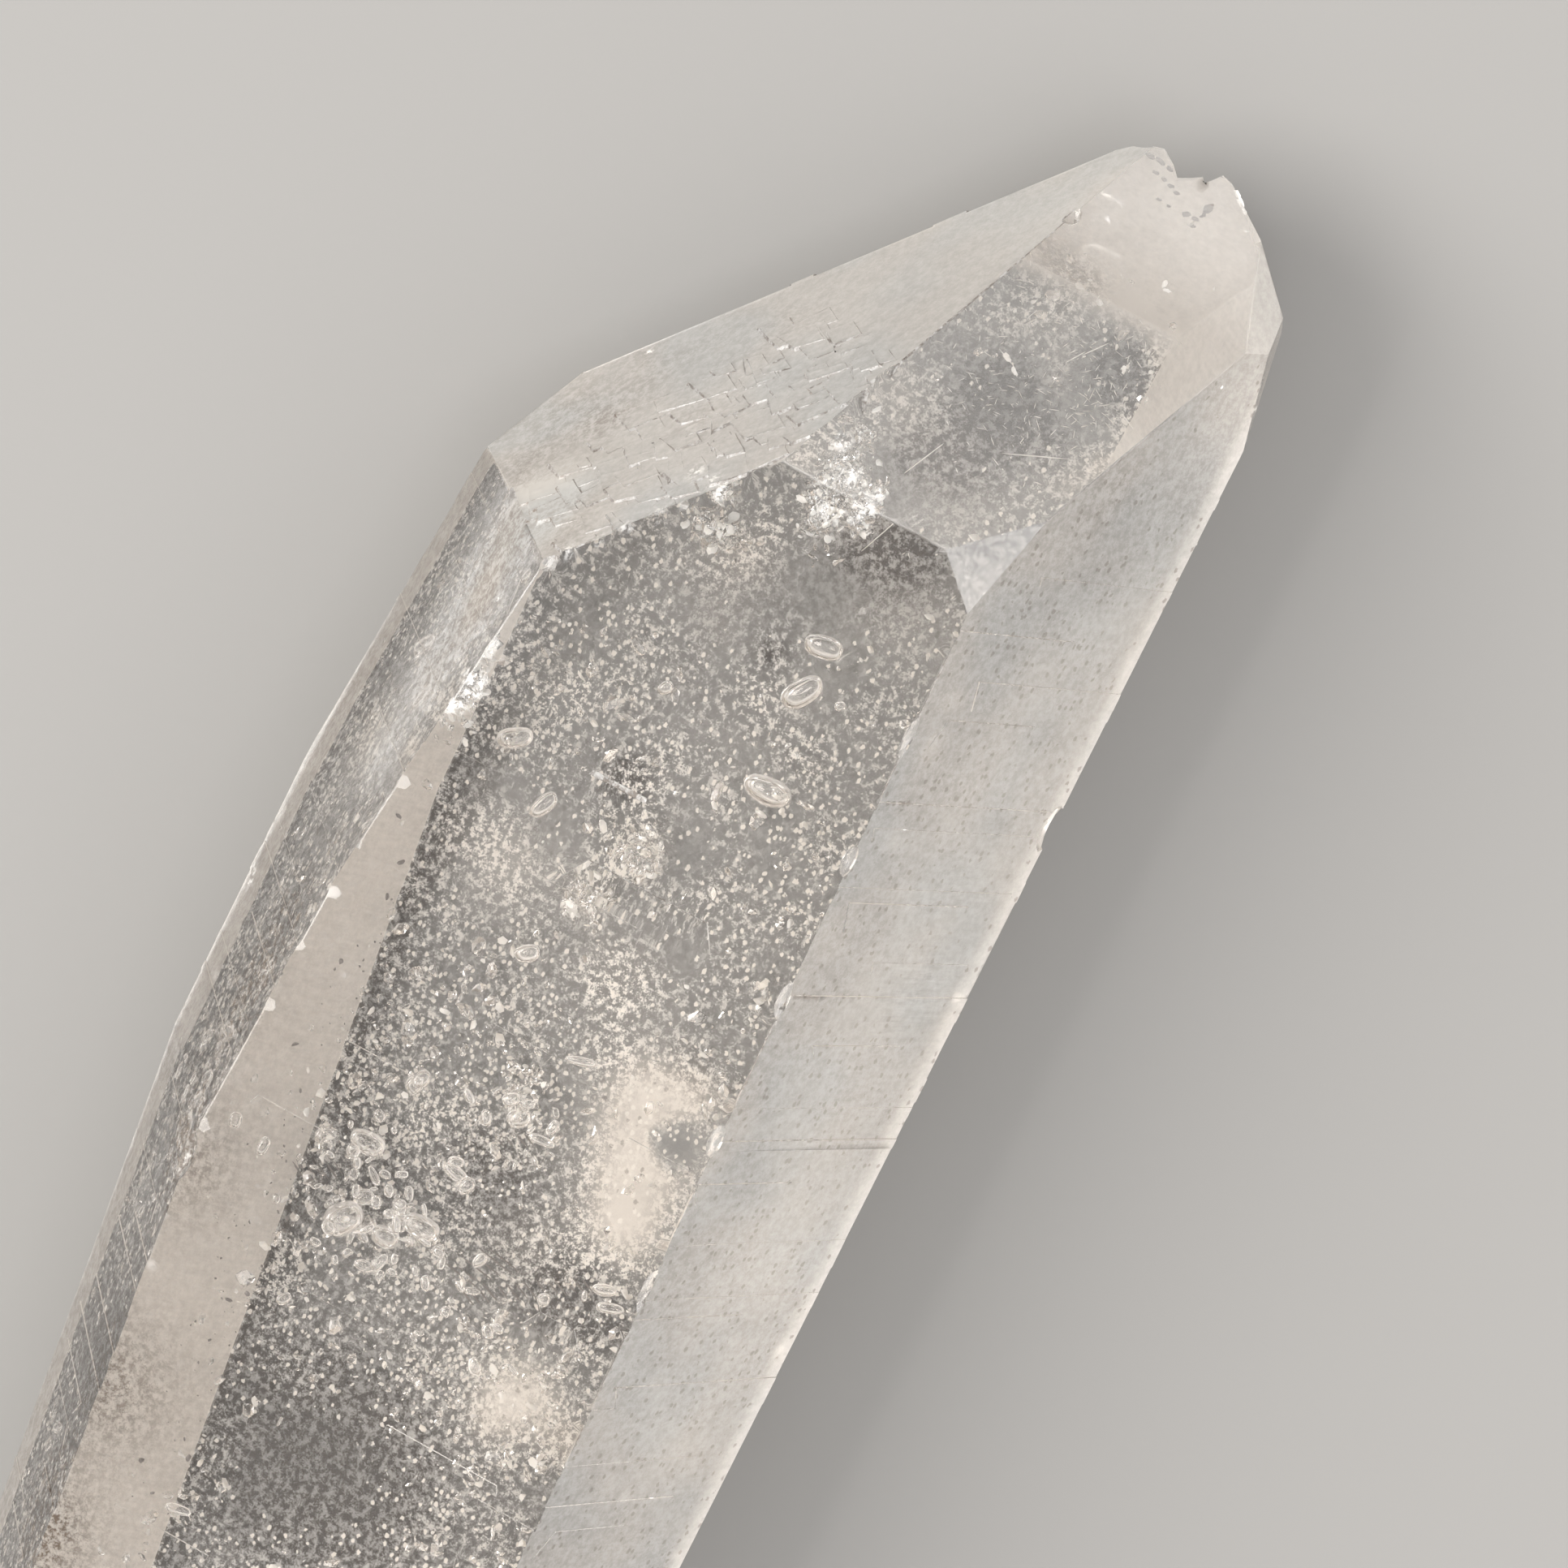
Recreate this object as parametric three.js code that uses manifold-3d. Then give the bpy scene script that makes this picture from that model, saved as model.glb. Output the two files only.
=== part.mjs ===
// A double terminated quartz crystal, lying on one of its prism faces.
// One natural piece: a flattened six sided prism with a six faced point at each end, all in one solid.
//
// Millimetres, +Z up. The crystal's long axis runs along X, and the broken, photographed point is at +X.
// Each face is a plane: "turn" is its angle about the long axis, from straight up towards -Y,
// "lean" is the angle between its outward normal and +X, and "reach" is its distance from the axis point.

import * as THREE from 'three';
import Module from 'manifold-3d';

const wasm = await Module();
wasm.setup();

// Driving dimensions
const REST_REACH = 7.58;            // from the long axis down to the face that it lies on
const CREST_FALL = [-0.42, 0.09, -0.90];  // way that the broken surface runs back from the crest
const POINT_LEAN = 51.79;           // lean of an ideal quartz point face
const FAR_LEAN = 180 - POINT_LEAN;  // the same at the far point
const SKIN = 0.6;                   // how deep the root of a raised plate goes into the crystal
const RAISED_MOST = 0.25;           // most that raised growth stands above a face
const MOSAIC_TURN = -19;            // side direction that follows the slanted edge of the mosaic face
const MOSAIC_FROM = [-2.2, 4.0];    // across and along that face, where its first plate lies
const RANDOM_SEED = 11;

// Prism faces. The left side is bowed, so its faces come as strips that tilt a little more towards -X.
const PRISM_FACES = {
  top: { turn: 0, lean: 90, reach: 7.42 },
  right_upper: { turn: 62.4, lean: 89.5, reach: 9.80 },
  right_lower: { turn: 124, lean: 91.0, reach: 10.19 },
  rest: { turn: 180, lean: 90, reach: REST_REACH },
  left_lower: { turn: -121.4, lean: 89.6, reach: 10.83 },
  left_lower_far: { turn: -121.4, lean: 93.8, reach: 10.82 },
  left_upper: { turn: -60.1, lean: 82.6, reach: 10.40 },
  left_upper_middle: { turn: -60.1, lean: 86.2, reach: 10.53 },
  left_upper_far: { turn: -60.1, lean: 93.2, reach: 11.93 },
};

// The six faces of the near point, with two small facets that cut the corners below its biggest face.
const NEAR_POINT_FACES = {
  near_top: { turn: 0.6, lean: 51.3, reach: 17.11 },
  near_left_upper: { turn: -60.3, lean: 53.5, reach: 14.05 },
  near_left_lower: { turn: -119.9, lean: 52.2, reach: 17.47 },
  near_under: { turn: 180, lean: 60.4, reach: 17.87 },
  near_right_lower: { turn: 120, lean: POINT_LEAN, reach: 25.32 },
  near_right_upper: { turn: 59.1, lean: 50.9, reach: 24.01 },
  near_corner: { turn: 20.3, lean: 70.8, reach: 14.30 },
  near_right_corner: { turn: 92, lean: 80, reach: 15.6 },
};

// The six faces of the far point, unequal as natural ones are.
const FAR_POINT_FACES = {
  far_top: { turn: 0, lean: FAR_LEAN, reach: 32.0 },
  far_left_upper: { turn: -60, lean: FAR_LEAN + 0.6, reach: 34.0 },
  far_left_lower: { turn: -120, lean: FAR_LEAN, reach: 33.6 },
  far_under: { turn: 180, lean: FAR_LEAN, reach: 36.4 },
  far_right_lower: { turn: 120, lean: FAR_LEAN - 0.7, reach: 34.4 },
  far_right_upper: { turn: 60, lean: FAR_LEAN, reach: 36.8 },
  far_corner: { turn: 22, lean: 109, reach: 22.1 },
};

const FACES = { ...PRISM_FACES, ...NEAR_POINT_FACES, ...FAR_POINT_FACES };

// The broken crest of the near point, as (y, x) points on the near_top face, left to right.
const CREST = [
  [-1.2, 31.9], [-3.2, 30.62], [-4.2, 30.64], [-4.85, 30.78], [-5.35, 30.5], [-5.7, 30.2],
  [-6.05, 30.36], [-6.4, 30.56], [-6.55, 30.42], [-6.95, 30.86], [-7.35, 30.76], [-7.9, 30.42],
  [-8.5, 30.05], [-9.25, 29.6], [-10.4, 29.0],
];
const CREST_TOP = 36;               // x where the cut above the crest is closed
const CREST_CUT = [-4, 16];         // start and end of the cut along CREST_FALL

// Shell shaped breaks behind the crest and at the far tip: centre, radii, and turn about X and Z in degrees.
const SHELL_BREAKS = [
  { at: [30.6, -10.9, -4.6], size: [1.5, 1.2, 1.7], turns: [-15, 25] },
  { at: [31.3, -6.9, -3.6], size: [0.8, 0.9, 0.8], turns: [20, 10] },
  { at: [31.1, -8.0, -2.2], size: [0.9, 0.7, 0.7], turns: [0, 30] },
  { at: [-54.0, -0.4, -2.8], size: [1.7, 1.6, 2.0], turns: [30, 20] },
];

// Small nicks along the edges: centre and radii.
const NICKS = [
  { at: [28.0, -3.35, -0.4], size: [0.5, 0.35, 0.35] },
  { at: [25.6, -10.7, 1.5], size: [0.5, 0.35, 0.35] },
  { at: [18.4, -6.7, 7.7], size: [0.7, 0.4, 0.35] },
  { at: [12.0, -7.15, 7.5], size: [0.9, 0.3, 0.3] },
  { at: [7.4, -7.1, 7.5], size: [0.6, 0.3, 0.35] },
  { at: [2.2, -7.2, 7.55], size: [0.8, 0.35, 0.3] },
  { at: [-3.2, -7.2, 7.55], size: [0.7, 0.35, 0.35] },
  { at: [-9.0, -7.35, 7.55], size: [1.0, 0.35, 0.3] },
  { at: [-28.0, -7.45, 7.55], size: [0.8, 0.4, 0.35] },
  { at: [-12.9, 8.95, 7.3], size: [1.1, 0.45, 0.5] },
  { at: [-10.0, 12.6, 0.5], size: [0.5, 0.3, 0.4] },
  { at: [11.6, 6.1, 7.6], size: [0.5, 0.5, 0.4] },
  { at: [9.0, -11.55, -1.1], size: [0.9, 0.35, 0.5] },
  { at: [-23.0, -11.55, -0.5], size: [1.1, 0.4, 0.6] },
  { at: [-46.6, 4.9, 4.3], size: [0.9, 0.6, 0.6] },
  { at: [-42.4, -1.0, 7.6], size: [0.7, 1.3, 0.4] },
  { at: [-49.0, -8.6, 2.2], size: [0.8, 0.6, 0.6] },
];

// Shared helpers

function randomSource(seed) {
  let state = seed;
  return () => {
    state = (state + 0x6d2b79f5) | 0;
    let mixed = Math.imul(state ^ (state >>> 15), 1 | state);
    mixed = (mixed + Math.imul(mixed ^ (mixed >>> 7), 61 | mixed)) ^ mixed;
    return ((mixed ^ (mixed >>> 14)) >>> 0) / 4294967296;
  };
}

const random = randomSource(RANDOM_SEED);
const between = (low, high) => low + (high - low) * random();
const radians = THREE.MathUtils.degToRad;

function faceNormal({ turn, lean }) {
  const side = Math.sin(radians(lean));
  return new THREE.Vector3(
    Math.cos(radians(lean)),
    -side * Math.sin(radians(turn)),
    side * Math.cos(radians(turn)),
  );
}

function facePlane(face) {
  return { normal: faceNormal(face), reach: face.reach };
}

// Directions that lie in a face: "across" runs level round the axis, "along" runs towards +X.
function faceFrame(face) {
  const normal = faceNormal(face);
  const across = new THREE.Vector3(1, 0, 0).cross(normal).normalize();
  const along = normal.clone().cross(across).negate();
  if (along.x < 0) along.negate();
  const origin = normal.clone().multiplyScalar(face.reach);
  return { origin, normal, across, along };
}

// The closed solid inside a set of planes: each face is a fan over its corners in order.
function solidFromPlanes(planes) {
  const corners = [];
  const onPlane = planes.map(() => []);
  const cornerAt = (point) => {
    const known = corners.findIndex((corner) => corner.distanceTo(point) < 1e-5);
    return known >= 0 ? known : corners.push(point) - 1;
  };
  for (let a = 0; a < planes.length; a += 1) {
    for (let b = a + 1; b < planes.length; b += 1) {
      for (let c = b + 1; c < planes.length; c += 1) {
        const point = meetingPoint(planes[a], planes[b], planes[c]);
        const inside = point && planes.every(({ normal, reach }) => normal.dot(point) < reach + 1e-6);
        if (!inside) continue;
        const corner = cornerAt(point);
        [a, b, c].forEach((index) => {
          if (!onPlane[index].includes(corner)) onPlane[index].push(corner);
        });
      }
    }
  }
  const triangles = [];
  onPlane.forEach((indices, index) => {
    if (indices.length < 3) return;
    const ring = orderedRing(indices, corners, planes[index].normal);
    for (let i = 2; i < ring.length; i += 1) triangles.push(ring[0], ring[i - 1], ring[i]);
  });
  return manifoldFrom(corners.flatMap((corner) => corner.toArray()), triangles);
}

function meetingPoint(first, second, third) {
  const cross = second.normal.clone().cross(third.normal);
  const volume = first.normal.dot(cross);
  if (Math.abs(volume) < 1e-7) return null;
  return cross.multiplyScalar(first.reach)
    .add(third.normal.clone().cross(first.normal).multiplyScalar(second.reach))
    .add(first.normal.clone().cross(second.normal).multiplyScalar(third.reach))
    .divideScalar(volume);
}

function orderedRing(indices, corners, normal) {
  const centre = new THREE.Vector3();
  indices.forEach((index) => centre.add(corners[index]));
  centre.divideScalar(indices.length);
  const first = corners[indices[0]].clone().sub(centre).normalize();
  const second = normal.clone().cross(first);
  const angle = (index) => {
    const arm = corners[index].clone().sub(centre);
    return Math.atan2(arm.dot(second), arm.dot(first));
  };
  return indices.slice().sort((a, b) => angle(a) - angle(b));
}

function manifoldFrom(vertProperties, triVerts) {
  return new wasm.Manifold(new wasm.Mesh({
    numProp: 3,
    vertProperties: new Float32Array(vertProperties),
    triVerts: new Uint32Array(triVerts),
  }));
}

function manifoldFromGeometry(geometry, matrix) {
  const corners = [];
  const seen = new Map();
  const place = geometry.getAttribute('position');
  const triangles = [];
  for (let i = 0; i < place.count; i += 1) {
    const point = new THREE.Vector3().fromBufferAttribute(place, i).applyMatrix4(matrix);
    const key = point.toArray().map((value) => value.toFixed(4)).join(' ');
    if (!seen.has(key)) seen.set(key, corners.push(point) - 1);
    triangles.push(seen.get(key));
  }
  const whole = [];
  for (let i = 0; i < triangles.length; i += 3) {
    const [a, b, c] = triangles.slice(i, i + 3);
    if (a !== b && b !== c && c !== a) whole.push(a, b, c);
  }
  return manifoldFrom(corners.flatMap((corner) => corner.toArray()), whole);
}

// Raised growth plates

// A low plate on a face: its outline is cut by straight sides that all slope in by "slope" degrees,
// and its top tilts by "rise" degrees, so that it fades into the face on one side.
function growthPlate(face, { at, height, rise, riseTurn, sides, slope }) {
  const { origin, normal, across, along } = faceFrame(face);
  const centre = origin.clone().addScaledVector(across, at[0]).addScaledVector(along, at[1]);
  const inFace = (angle) => across.clone().multiplyScalar(Math.cos(radians(angle)))
    .addScaledVector(along, Math.sin(radians(angle)));
  const planeThrough = (direction, point) => ({ normal: direction, reach: direction.dot(point) });

  const top = normal.clone().multiplyScalar(Math.cos(radians(rise)))
    .addScaledVector(inFace(riseTurn), Math.sin(radians(rise))).normalize();
  const topPoint = centre.clone().addScaledVector(normal, height);
  const root = centre.clone().addScaledVector(normal, -SKIN);
  const walls = sides.map(([angle, distance]) => {
    const outward = inFace(angle);
    const wall = outward.clone().multiplyScalar(Math.cos(radians(slope)))
      .addScaledVector(normal, Math.sin(radians(slope))).normalize();
    return planeThrough(wall, centre.clone().addScaledVector(outward, distance));
  });
  return solidFromPlanes([
    planeThrough(top, topPoint),
    planeThrough(normal.clone().negate(), root),
    ...walls,
  ]);
}

// The left upper point face: small lapped plates with two edge directions, so that their ledges run
// in zigzags. They crowd along the face's lower edge and thin out towards its smooth upper part.
function mosaicPlates() {
  const plates = [];
  const rows = 7;
  const perRow = 12;
  for (let row = 0; row < rows; row += 1) {
    for (let step = 0; step < perRow; step += 1) {
      const across = MOSAIC_FROM[0] + row * 1.15 + between(-0.6, 0.6);
      const along = MOSAIC_FROM[1] + step * 1.0 + row * 0.25 + between(-0.5, 0.5);
      const width = between(0.3, 1.1);
      const length = between(0.25, 0.75);
      plates.push({
        at: [across, along],
        height: between(0.03, 0.085),
        rise: between(1.6, 4.2),
        riseTurn: between(50, 130),
        slope: between(25, 55),
        sides: [
          [MOSAIC_TURN + between(-14, 14), width],
          [90, length * 1.6],
          [MOSAIC_TURN + 180 + between(-14, 14), width],
          [270 + between(-12, 12), length],
        ],
      });
    }
  }
  return plates;
}

// Growth lines across a prism face: thin bars at right angles to the long axis.
function crossBars({ from, to, count, left, right, height, spread = [0.2, 0.75] }) {
  const bars = [];
  for (let i = 0; i < count; i += 1) {
    const along = from + (to - from) * ((i + between(0.1, 0.9)) / count);
    const halfLength = between(...spread) * (right - left);
    const halfWidth = between(0.12, 0.6);
    bars.push({
      at: [between(left, right), along],
      height: between(height * 0.4, height),
      rise: between(0.3, 1.2),
      riseTurn: random() < 0.5 ? 90 : 270,
      slope: between(14, 32),
      sides: [
        [between(-40, 40), halfLength],
        [between(140, 220), halfLength],
        [90, halfWidth],
        [270, halfWidth],
      ],
    });
  }
  return bars;
}

// Faint raised triangles, all pointing the same way, on the quieter point faces.
function trianglePlates(spots) {
  return spots.map((at) => ({
    at,
    height: between(0.05, 0.09),
    rise: between(1.0, 2.0),
    riseTurn: 270,
    slope: 12,
    sides: [[90, 1.5], [210, 1.5], [330, 1.5]],
  }));
}

// Every face that carries raised growth, with its plates.
function growthByFace() {
  return [
    ['near_left_upper', mosaicPlates()],
    ['near_left_lower', trianglePlates([[-3.2, 12.0], [-4.6, 17.5]])],
    ['far_top', trianglePlates([[-2.0, -33.0], [3.0, -36.0], [5.2, -32.0]])],
    ['far_left_upper', trianglePlates([[-1.2, -31.0], [-0.6, -35.0]])],
    ['far_left_lower', trianglePlates([[-1.8, -33.5], [1.4, -36.0]])],
    ['far_right_lower', trianglePlates([[-2.0, -33.0], [1.2, -36.0]])],
    ['top', crossBars({ from: -39, to: 9, count: 26, left: -8, right: 7, height: 0.04, spread: [0.04, 0.16] })],
    ['right_upper', crossBars({ from: -42, to: 18, count: 34, left: -2.5, right: 6, height: 0.04 })],
    ['right_lower', crossBars({ from: -44, to: 24, count: 22, left: -4.5, right: 2, height: 0.05 })],
    ['left_upper', crossBars({ from: 0, to: 9, count: 5, left: -6, right: 3, height: 0.04 })],
    ['left_upper_middle', crossBars({ from: -11, to: -2, count: 6, left: -5, right: 2, height: 0.04 })],
    ['left_upper_far', crossBars({ from: -39, to: -12, count: 16, left: -4, right: 2.5, height: 0.05 })],
  ];
}

// The crystal's body and breaks

// The body inside all the faces, or the same with one face moved out, which bounds that face's plates.
function body(raisedFace = null) {
  const planes = Object.entries(FACES).map(([name, face]) => {
    const plane = facePlane(face);
    return name === raisedFace ? { ...plane, reach: plane.reach + RAISED_MOST } : plane;
  });
  return solidFromPlanes(planes);
}

// What broke away above the crest: the crest line swept back and down, and closed far above it.
function brokenTip() {
  const outline = new THREE.Shape();
  outline.moveTo(CREST[0][0], CREST_TOP);
  CREST.forEach(([y, x]) => outline.lineTo(y, x));
  outline.lineTo(CREST[CREST.length - 1][0], CREST_TOP);
  const sweep = new THREE.ExtrudeGeometry(outline, { depth: 1, bevelEnabled: false, steps: 1 });
  const { normal, reach } = facePlane(NEAR_POINT_FACES.near_top);
  const fall = new THREE.Vector3(...CREST_FALL).normalize();
  const place = sweep.getAttribute('position');
  for (let i = 0; i < place.count; i += 1) {
    const y = place.getX(i);
    const x = place.getY(i);
    const z = (reach - normal.x * x - normal.y * y) / normal.z;
    const travel = CREST_CUT[0] + (CREST_CUT[1] - CREST_CUT[0]) * place.getZ(i);
    place.setXYZ(i, x + fall.x * travel, y + fall.y * travel, z + fall.z * travel);
  }
  return manifoldFromGeometry(sweep, new THREE.Matrix4());
}

function shellBreak({ at, size, turns = [0, 0] }, fineness) {
  const ball = new THREE.IcosahedronGeometry(1, fineness);
  const rotation = new THREE.Quaternion()
    .setFromEuler(new THREE.Euler(radians(turns[0]), 0, radians(turns[1])));
  const matrix = new THREE.Matrix4()
    .compose(new THREE.Vector3(...at), rotation, new THREE.Vector3(...size));
  return manifoldFromGeometry(ball, matrix);
}

function crystalSolid() {
  let solid = body();
  growthByFace().forEach(([name, plates]) => {
    const room = body(name);
    plates.forEach((plate) => {
      solid = solid.add(growthPlate(FACES[name], plate).intersect(room));
    });
  });
  solid = solid.subtract(brokenTip());
  SHELL_BREAKS.forEach((place) => {
    solid = solid.subtract(shellBreak(place, 2));
  });
  NICKS.forEach((place) => {
    solid = solid.subtract(shellBreak(place, 1));
  });
  return solid;
}

// The finished mesh, with the point below the middle of its box as the origin.
function crystalMesh() {
  const { vertProperties, triVerts } = crystalSolid().getMesh();
  const geometry = new THREE.BufferGeometry();
  geometry.setAttribute('position', new THREE.BufferAttribute(vertProperties, 3));
  geometry.setIndex(new THREE.BufferAttribute(triVerts, 1));
  geometry.computeBoundingBox();
  const { min, max } = geometry.boundingBox;
  geometry.translate(-(min.x + max.x) / 2, -(min.y + max.y) / 2, -min.z);
  const clearQuartz = new THREE.MeshStandardMaterial({
    color: 0xd6d3cd,
    roughness: 0.12,
    metalness: 0,
    transparent: true,
    opacity: 0.55,
  });
  const mesh = new THREE.Mesh(geometry, clearQuartz);
  mesh.name = 'quartz_crystal';
  return mesh;
}

const group = new THREE.Group();
group.add(crystalMesh());

export default group;
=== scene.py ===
"""A double terminated quartz crystal lying on a pale floor, seen from above its broken point."""
import math

import bmesh
import bpy
import numpy as np
from mathutils import Matrix, Vector, geometry, noise
from mathutils.bvhtree import BVHTree


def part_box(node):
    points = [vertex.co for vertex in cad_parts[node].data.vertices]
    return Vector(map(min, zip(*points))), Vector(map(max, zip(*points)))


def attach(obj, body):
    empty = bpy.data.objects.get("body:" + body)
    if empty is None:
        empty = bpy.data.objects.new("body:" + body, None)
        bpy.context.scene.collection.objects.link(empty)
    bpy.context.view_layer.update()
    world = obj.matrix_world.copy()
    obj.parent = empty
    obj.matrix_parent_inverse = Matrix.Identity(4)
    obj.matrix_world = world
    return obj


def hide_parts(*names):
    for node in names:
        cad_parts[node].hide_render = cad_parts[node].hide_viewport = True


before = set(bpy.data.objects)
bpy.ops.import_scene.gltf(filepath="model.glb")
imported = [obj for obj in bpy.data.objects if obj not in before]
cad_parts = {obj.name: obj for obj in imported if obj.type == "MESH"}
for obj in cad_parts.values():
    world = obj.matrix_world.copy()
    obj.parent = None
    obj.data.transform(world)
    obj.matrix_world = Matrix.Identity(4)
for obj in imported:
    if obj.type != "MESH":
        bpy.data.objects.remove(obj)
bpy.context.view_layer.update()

MM = 0.001
CRYSTAL_NODE = "quartz_crystal"

# Camera: a long lens above the crystal, tipped towards its broken point
CAMERA_TARGET = Vector((17.06, -3.06, 5.42)) * MM
CAMERA_BACK = Vector((0.2944, -0.1384, 0.9456)).normalized()
CAMERA_UP = Vector((0.8618, 0.4662, -0.2000))
CAMERA_DISTANCE = 192.5 * MM
CAMERA_LENS = 130.4
CAMERA_SENSOR = 36.0
CAMERA_CLIP = (0.005, 10.0)
PHOTO_SIZE = 1932

# Studio, in metres: the floor, the light all round, and square lights with their place, power and colour
FLOOR_HALF = 1.5
FLOOR_GAP = 0.05 * MM
FLOOR_COLOR = (0.228, 0.224, 0.218, 1.0)
FLOOR_ROUGHNESS = 0.8
WORLD_COLOR = (1.0, 0.98, 0.95, 1.0)
WORLD_STRENGTH = 1.3
LIGHT_SIZE = 0.5
LIGHTS = {
    "key": ((-0.05, 0.44, 0.50), 5.4, (1.0, 0.97, 0.93)),
    "fill": ((0.10, -0.33, 0.58), 2.2, (0.97, 0.97, 1.0)),
}
BOUNCES = {"max_bounces": 11, "transmission_bounces": 11, "glossy_bounces": 8, "diffuse_bounces": 3}

# Seeds of the random draws, for the ledges and for each piece inside the crystal
SEEDS = {
    "ledges": 21,
    "bubbles": 3,
    "grains": 5,
    "small_cavities": 6,
    "healed_cracks": 8,
    "crack_crumbs": 9,
    "wisps": 10,
    "dark_specks": 12,
}

# Optics of quartz
QUARTZ_IOR = 1.544
ABSORPTION_COLOR = (0.83, 0.75, 0.66, 1.0)
ABSORPTION_DENSITY = 16.0

# Surface finish: colours of the milky film, of dark stain that is partly painted shade, and of pale flakes
FILM_WARM = (0.385, 0.363, 0.336, 1.0)
FILM_COOL = (0.350, 0.347, 0.334, 1.0)
# Paler film, mostly on the faces below and on the shadow side, which get little lamp light: painted light as
# well as film
PALE_FILM_AND_PAINTED_LIGHT = (0.82, 0.775, 0.725, 1.0)
STAIN_AND_SHADE_COLOR = (0.098, 0.062, 0.038, 1.0)
FLAKE_COLOR = (0.98, 0.94, 0.885, 1.0)
FLAKE_COVER = 0.85
PIT_DARKNESS = 0.45
BUMP_HEIGHT = 0.012
POLISH_ROUGHNESS = 0.012

# Patterns: how many to a millimetre along each axis, and the levels between which each one rises
MOTTLE_SCALE = (3.0, 3.0, 3.0)
LINE_SCALE = (6.0, 0.8, 0.8)
FLAKE_SCALE = (3.6, 4.8, 4.2)
FLAKE_LEVELS = (0.30, 0.46)
CLOUD_LEVELS = (0.46, 0.60)
STAIN_AND_SHADE_LEVELS = (0.60, 0.40)

# How much film, frost and film colour there is for each unit of haze or frost: plain share, mottled share
MILK_SHARES = (0.65, 0.7)
FROST_SHARES = (0.10, 0.45)
FILM_TINT = 1.4

# Mesh, in millimetres: distance between surface points on each kind of face
POINT_STEP = {
    "near_left_upper": 0.11,
    "ledge": 0.11,
    "right_upper": 0.27,
    "top": 0.34,
    "near_top": 0.28,
    "left_upper": 0.28,
    "broken": 0.2,
}
OTHER_STEP = 0.46
EDGE_ROUND = 0.07
EDGE_ROUND_KEPT = 0.9
MERGE_DISTANCE = 0.0005
FLAT_ANGLE = 0.2
SHARP_ANGLE = 1.0
BREAK_ANGLE = 38.0
MAIN_EDGE_LENGTH = 1.5
MAIN_EDGE_ANGLE = 8.0
MAIN_FACE_AREA = 3.0
LEDGE_MOST_AREA = 0.6
POINT_JITTER = 0.22
OUTLINE_CLEARANCE = 0.55

# Faces by the angle of their outward normal: turn about the long axis from straight up, lean from +X
SIDE_TURNS = {
    "top": 0,
    "right_upper": 62,
    "right_lower": 123,
    "rest": 180,
    "left_lower": -121,
    "left_upper": -60,
}
SIDE_TOLERANCE = 9
NEAR_LEANS = (45, 66)
SIDE_LEANS = (80, 97)
FAR_LEANS = (118, 140)

# Relief, in millimetres: ledges on the largest point face, and fine ridges across the prism faces. A
# scale is how many waves there are to a millimetre, along the crystal and then across it if it has two
LEDGE_COUNT = 260
LEDGE_LENGTHS = (0.4, 1.5)
LEDGE_WIDTHS = (0.3, 0.7)
LEDGE_HEIGHTS = (0.008, 0.030)
LEDGE_TURN = 0.16
LEDGE_CENTRE = (900, 540)
LEDGE_SPREADS = (4.2, 2.4)
LEDGE_WOBBLE = 0.10
LEDGE_WOBBLE_SCALE = 1.6
LEDGE_SWELL = 0.035
LEDGE_SWELL_SCALE = 0.9
LEDGE_RIPPLE_SCALE = 2.4
SMOOTH_CORNER = (650, 548)
SMOOTH_RADIUS = 5.0
STRIAE_DEPTH = {"right_upper": 0.006, "left_upper": 0.004, "right_lower": 0.006}
STRIAE_FINE = (2.6, 0.10)
STRIAE_BROAD = (0.7, 0.05)
BREAK_DEPTH = 0.010
BREAK_SCALE = 1.3
FACE_DEPTH = 0.0015
FACE_SCALE = 0.5
TONE_SCALE = 0.3
TONE_SWING = 2.2
SWELL_SCALE = 0.45

# Finish of each kind of face. Haze on the faces below and on the shadow side, and their pale film, is painted
# light as well as milky film: it stands in for light reflected inside the crystal
# Stain values are partly real stain and partly painted shade: on the resting face they darken the view down
# through the crystal, and on the small ledge steps they paint dark risers
FINISH_COLUMNS = ("haze_and_painted_light", "cloud", "frost", "stain_and_shade", "grain", "striae", "pale", "pits")
FINISH = {
    "rest": (0.05, 0.50, 0.10, 0.34, 0.26, 0, 1.0, 0.10),
    "top": (0.012, 0, 0, 0, 0, 0.02, 1.0, 0),
    "right_upper": (0.64, 0, 0.60, 0.14, 0, 0.14, 0.08, 0.18),
    "right_lower": (0.90, 0, 0.40, 0, 0, 0.3, 1.0, 0),
    "left_upper": (0.02, 0, 0.06, 0.50, 0, 0.10, 0, 0.08),
    "left_lower": (0.82, 0, 0.50, 0.05, 0, 0.35, 1.0, 0),
    "near_top": (0.08, 0, 0.02, 0, 0, 0, 1.0, 0),
    "near_left_upper": (0.66, 0, 0.40, 0.03, 0, 0, 0.04, 0),
    "ledge": (0.40, 0, 0.50, 0.75, 0, 0, 0, 0),
    "near_right_upper": (0.62, 0, 0.20, 0.05, 0, 0, 0.45, 0),
    "near_rest": (0.90, 0, 0.10, 0, 0, 0, 1.0, 0),
    "near_right_lower": (0.85, 0, 0.10, 0, 0, 0, 1.0, 0),
    "far": (0.12, 0, 0.80, 0.05, 0.04, 0, 0.4, 0.08),
    "broken": (0.12, 0, 0.15, 0, 0, 0, 0.5, 0),
    "other": (0, 0, 0, 0, 0, 0, 0.5, 0),
}
FINISH_MOST = 1.5
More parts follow.
